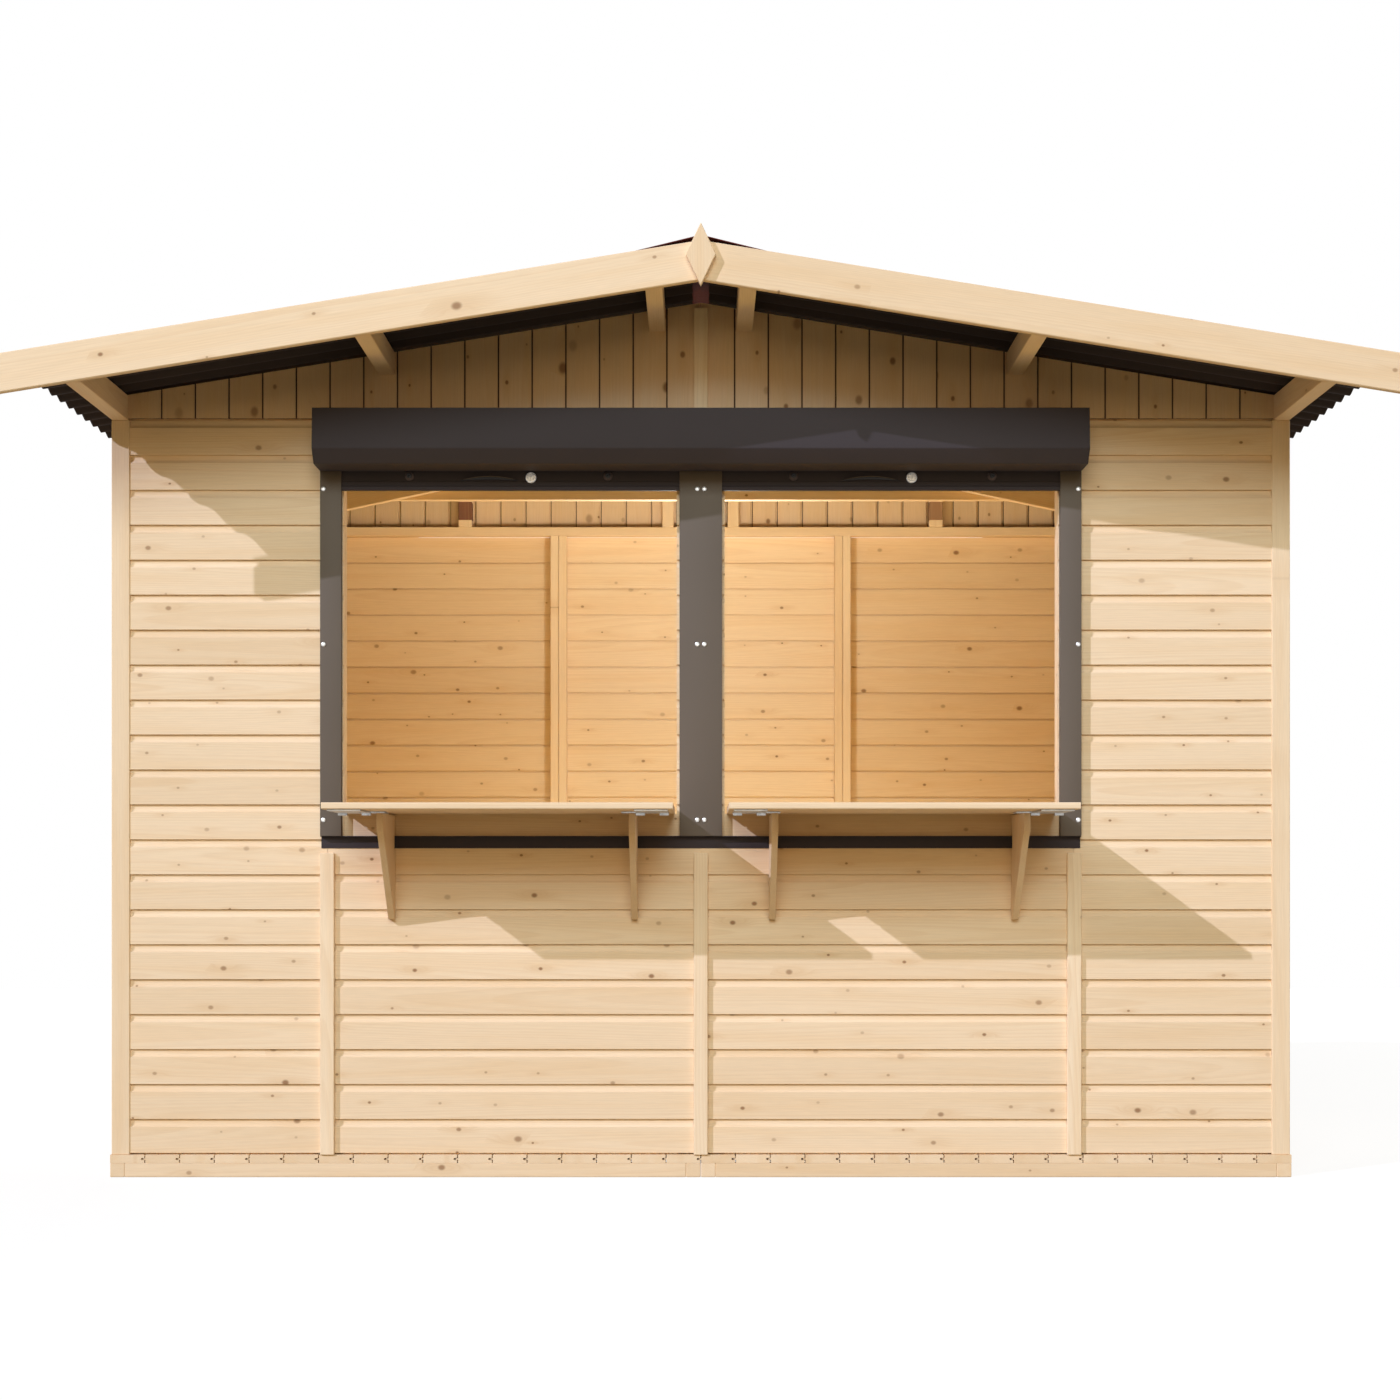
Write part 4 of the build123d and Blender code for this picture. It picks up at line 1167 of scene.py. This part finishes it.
def build_counters(boards, shutter):
    """Counters of jointed boards, brackets and metal catches."""
    tops = Solids(91)
    for top in packed_solids("counters"):
        low, high = corners(top)
        thick = high.z - low.z
        cover = (high.y - low.y) / boards.counter_boards
        place = lambda w, d, l, high=high: Vector((l, w, high.z - d))
        for board in range(boards.counter_boards):
            near, far = low.y + board * cover, low.y + (board + 1) * cover
            first, last = board == 0, board == boards.counter_boards - 1
            gap = 0.3 * boards.joint_gap
            lower = rounded_edge(near, thick, boards.nosing) if first else grooved_edge(near, thick, gap, boards)
            upper = plain_edge(far, thick, boards)[::-1] if last else tongued_edge(far, thick, gap, boards)
            tree = tops.tree((1, 0, 0), (0, 0, 1), ((low.x + high.x) / 2, (near + far) / 2, high.z))
            tops.add(run_out(lower + upper, place, (low.x, high.x)), tree)
    wood = spruce("counter_spruce", boards)
    tops.finish("counter_tops", wood, "counter_boards", "counters")

    brackets = Solids(92)
    add_timbers(brackets, "brackets", 0.5 * boards.easing, along=(0, -0.55, 1))
    brackets.finish("counter_brackets", wood, "counter_boards", "brackets")

    catches = Solids(93)
    for catch in packed_solids("catches"):
        ease(catch, 0.6 * shutter.metal_easing, steps=2)
        catches.add(catch)
    zinc = brushed_metal("zinc_plate", tuple(shutter.zinc), 0.45, (60.0, 900.0, 60.0))
    catches.finish("zinc_catches", zinc, "catch_metal", "catches")


def rounded_edge(w, thick, radius):
    """Front edge of a counter, from its face to its back, rounded above and below."""
    upper = arc((w + radius, radius), radius, 1.5 * math.pi, math.pi, 4)
    lower = arc((w + radius, thick - radius), radius, math.pi, 0.5 * math.pi, 4)
    return upper + lower


def build_stage(stage):
    """Floor, lights, background and camera."""
    graph = Graph("pale_floor")
    seen = graph.add("ShaderNodeLightPath").outputs
    watched = graph.sum("MAXIMUM", seen["Is Camera Ray"], graph.sum("MAXIMUM", seen["Is Glossy Ray"],
                                                                     seen["Is Transmission Ray"]))
    tint = graph.blend(watched, tuple(stage.floor_glow), tuple(stage.floor))
    matt = graph.add("ShaderNodeBsdfDiffuse", {"Color": tint}).outputs["BSDF"]
    lift = graph.sum("MULTIPLY", watched, stage.floor_lift)
    glow = graph.add("ShaderNodeEmission", {"Strength": lift}).outputs["Emission"]
    both = graph.add("ShaderNodeAddShader", {0: matt, 1: glow}).outputs["Shader"]
    graph.add("ShaderNodeOutputMaterial", {"Surface": both})
    reach = stage.floor_reach
    mesh = bpy.data.meshes.new("stage_floor")
    mesh.from_pydata([(-reach, -reach, 0), (reach, -reach, 0), (reach, reach, 0), (-reach, reach, 0)], [], [(0, 1, 2, 3)])
    mesh.materials.append(graph.material)
    floor = bpy.data.objects.new("stage_floor", mesh)
    link(floor)

    world = bpy.data.worlds.new("white_studio")
    world.use_nodes = True
    bpy.context.scene.world = world
    nodes, links = world.node_tree.nodes, world.node_tree.links
    nodes.clear()
    even, white = nodes.new("ShaderNodeBackground"), nodes.new("ShaderNodeBackground")
    even.inputs["Strength"].default_value = stage.sky
    even.inputs["Color"].default_value = solid_colour(tuple(stage.sky_tint))
    white.inputs["Color"].default_value = (1.0, 1.0, 1.0, 1.0)
    white.inputs["Strength"].default_value = 1.0
    path, choice = nodes.new("ShaderNodeLightPath"), nodes.new("ShaderNodeMixShader")
    both, any_of = nodes.new("ShaderNodeMath"), nodes.new("ShaderNodeMath")
    both.operation = any_of.operation = "MAXIMUM"
    links.new(path.outputs["Is Glossy Ray"], both.inputs[0])
    links.new(path.outputs["Is Transmission Ray"], both.inputs[1])
    links.new(path.outputs["Is Camera Ray"], any_of.inputs[0])
    links.new(both.outputs[0], any_of.inputs[1])
    links.new(any_of.outputs[0], choice.inputs[0])
    links.new(even.outputs[0], choice.inputs[1])
    links.new(white.outputs[0], choice.inputs[2])
    links.new(choice.outputs[0], nodes.new("ShaderNodeOutputWorld").inputs["Surface"])

    sun = lamp("key_sun", "SUN", stage.sun_strength, (-6.0, -6.0, 6.0), stage.sun_heading)
    sun.data.angle = stage.sun_spread
    sun.data.color = stage.sun_tint
    aim = Vector((0.0, 0.0, wall_top / 2))
    white_tint = (1.0, 1.0, 1.0)
    high = (stage.box_level, stage.box_width, stage.box_height)
    low = (stage.glow_level, stage.glow_width, stage.glow_height)
    boxes = (
        ("front_softbox", stage.front_box, (-0.06, -1.0), high, stage.front_tint),
        ("low_softbox", stage.glow_box, (0.0, -1.0), low, stage.glow_tint),
        ("back_softbox", stage.back_box, (0.15, 1.0), high, white_tint),
        ("side_softbox", stage.side_box, (1.0, 0.10), high, white_tint),
        ("left_softbox", stage.left_box, (-1.0, 0.10), low, stage.glow_tint),
    )
    for name, watts, bearing, (level_here, width, height), tint in boxes:
        place = Vector((*(share * stage.box_distance for share in bearing), level_here))
        softbox = lamp(name, "AREA", watts, place, aim - place)
        softbox.data.shape = "RECTANGLE"
        softbox.data.size = width
        softbox.data.size_y = height
        softbox.data.color = tint
        softbox.visible_camera = False
    room = lamp("room_lamp", "POINT", stage.room, stage.room_place, (0.0, 0.0, -1.0))
    room.data.shadow_soft_size = stage.room_size
    room.data.color = stage.room_tint
    room.visible_camera = False

    warmth = lamp("warm_lamp", "AREA", stage.warmth, stage.warmth_place, (0.0, 1.0, 1.4))
    warmth.data.shape = "RECTANGLE"
    warmth.data.size = stage.warmth_width
    warmth.data.size_y = stage.warmth_height
    warmth.data.color = stage.warmth_tint
    warmth.visible_camera = False

    loft = lamp("loft_lamp", "AREA", stage.loft, stage.loft_place, stage.loft_heading)
    loft.data.shape = "RECTANGLE"
    loft.data.size = stage.loft_width
    loft.data.size_y = stage.loft_height
    loft.data.color = stage.loft_tint
    loft.visible_camera = False

    eye = bpy.data.cameras.new("photo_camera")
    eye.sensor_fit = "HORIZONTAL"
    eye.sensor_width = 36.0
    eye.lens = stage.lens
    eye.shift_y = stage.shift
    camera = bpy.data.objects.new("photo_camera", eye)
    camera.location = (-stage.aside, -face_y - stage.distance, stage.eye)
    camera.rotation_euler = (math.pi / 2, 0.0, 0.0)
    link(camera)
    bpy.context.scene.camera = camera
    bpy.context.scene.view_settings.view_transform = "Standard"


def link(thing):
    """Put an object into the scene."""
    bpy.context.scene.collection.objects.link(thing)


def lamp(name, kind, strength, place, heading):
    """A lamp that shines along a heading."""
    light = bpy.data.lights.new(name, kind)
    light.energy = strength
    thing = bpy.data.objects.new(name, light)
    thing.location = place
    thing.rotation_euler = Vector(heading).to_track_quat("-Z", "Y").to_euler()
    link(thing)
    return thing


# Operators, one to a group of pieces

class STALL_OT_floor(Operator):
    """Lay the floor frame and its boards."""

    bl_idname = "stall.floor"
    bl_label = "Floor"

    def execute(self, context):
        build_floor(context.scene.stall_boards)
        return {"FINISHED"}


class STALL_OT_walls(Operator):
    """Board the four walls."""

    bl_idname = "stall.walls"
    bl_label = "Walls"

    def execute(self, context):
        build_walls(context.scene.stall_boards)
        return {"FINISHED"}


class STALL_OT_frame(Operator):
    """Set the studs, corner trims and cover battens."""

    bl_idname = "stall.frame"
    bl_label = "Frame and trims"

    def execute(self, context):
        build_frame(context.scene.stall_boards)
        return {"FINISHED"}


class STALL_OT_gables(Operator):
    """Board the gables and set their frames."""

    bl_idname = "stall.gables"
    bl_label = "Gables"

    def execute(self, context):
        build_gables(context.scene.stall_boards)
        return {"FINISHED"}


class STALL_OT_roof_frame(Operator):
    """Set the purlins, truss, bargeboards and finials."""

    bl_idname = "stall.roof_frame"
    bl_label = "Roof frame"

    def execute(self, context):
        build_roof_frame(context.scene.stall_boards)
        return {"FINISHED"}


class STALL_OT_roof(Operator):
    """Lay the corrugated sheets and the ridge cover."""

    bl_idname = "stall.roof"
    bl_label = "Roof sheets"

    def execute(self, context):
        build_roof(context.scene.stall_roof)
        return {"FINISHED"}


class STALL_OT_shutter(Operator):
    """Fit the shutter box, guides, sill and end slats."""

    bl_idname = "stall.shutter"
    bl_label = "Shutters"

    def execute(self, context):
        build_shutter(context.scene.stall_shutter)
        return {"FINISHED"}


class STALL_OT_fittings(Operator):
    """Fit the stops, locks and pulls."""

    bl_idname = "stall.fittings"
    bl_label = "Slat fittings"

    def execute(self, context):
        build_fittings(context.scene.stall_shutter)
        return {"FINISHED"}


class STALL_OT_counters(Operator):
    """Fit the counters, brackets and catches."""

    bl_idname = "stall.counters"
    bl_label = "Counters"

    def execute(self, context):
        build_counters(context.scene.stall_boards, context.scene.stall_shutter)
        return {"FINISHED"}


class STALL_OT_stage(Operator):
    """Set the floor, lights and camera."""

    bl_idname = "stall.stage"
    bl_label = "Stage"

    def execute(self, context):
        build_stage(context.scene.stall_stage)
        return {"FINISHED"}


steps = (
    STALL_OT_floor,
    STALL_OT_walls,
    STALL_OT_frame,
    STALL_OT_gables,
    STALL_OT_roof_frame,
    STALL_OT_roof,
    STALL_OT_shutter,
    STALL_OT_fittings,
    STALL_OT_counters,
    STALL_OT_stage,
)


class STALL_PT_sidebar(Panel):
    """Lists the steps that dress the stall."""

    bl_label = "Market Stall"
    bl_idname = "STALL_PT_sidebar"
    bl_space_type = "VIEW_3D"
    bl_region_type = "UI"
    bl_category = "Stall"

    def draw(self, context):
        for step in steps:
            self.layout.operator(step.bl_idname)


groups = {
    "stall_boards": BoardSettings,
    "stall_roof": RoofSettings,
    "stall_shutter": ShutterSettings,
    "stall_stage": StageSettings,
}


def register():
    """Make the settings, steps and panel known."""
    for kind in (*groups.values(), *steps, STALL_PT_sidebar):
        bpy.utils.register_class(kind)
    for name, kind in groups.items():
        setattr(Scene, name, PointerProperty(type=kind))


def unregister():
    """Take the settings, steps and panel away again."""
    for name in groups:
        delattr(Scene, name)
    for kind in reversed((*groups.values(), *steps, STALL_PT_sidebar)):
        bpy.utils.unregister_class(kind)


def main():
    """Dress the stall."""
    register()
    bpy.ops.stall.floor()
    bpy.ops.stall.walls()
    bpy.ops.stall.frame()
    bpy.ops.stall.gables()
    bpy.ops.stall.roof_frame()
    bpy.ops.stall.roof()
    bpy.ops.stall.shutter()
    bpy.ops.stall.fittings()
    bpy.ops.stall.counters()
    bpy.ops.stall.stage()


if __name__ == "__main__":
    main()
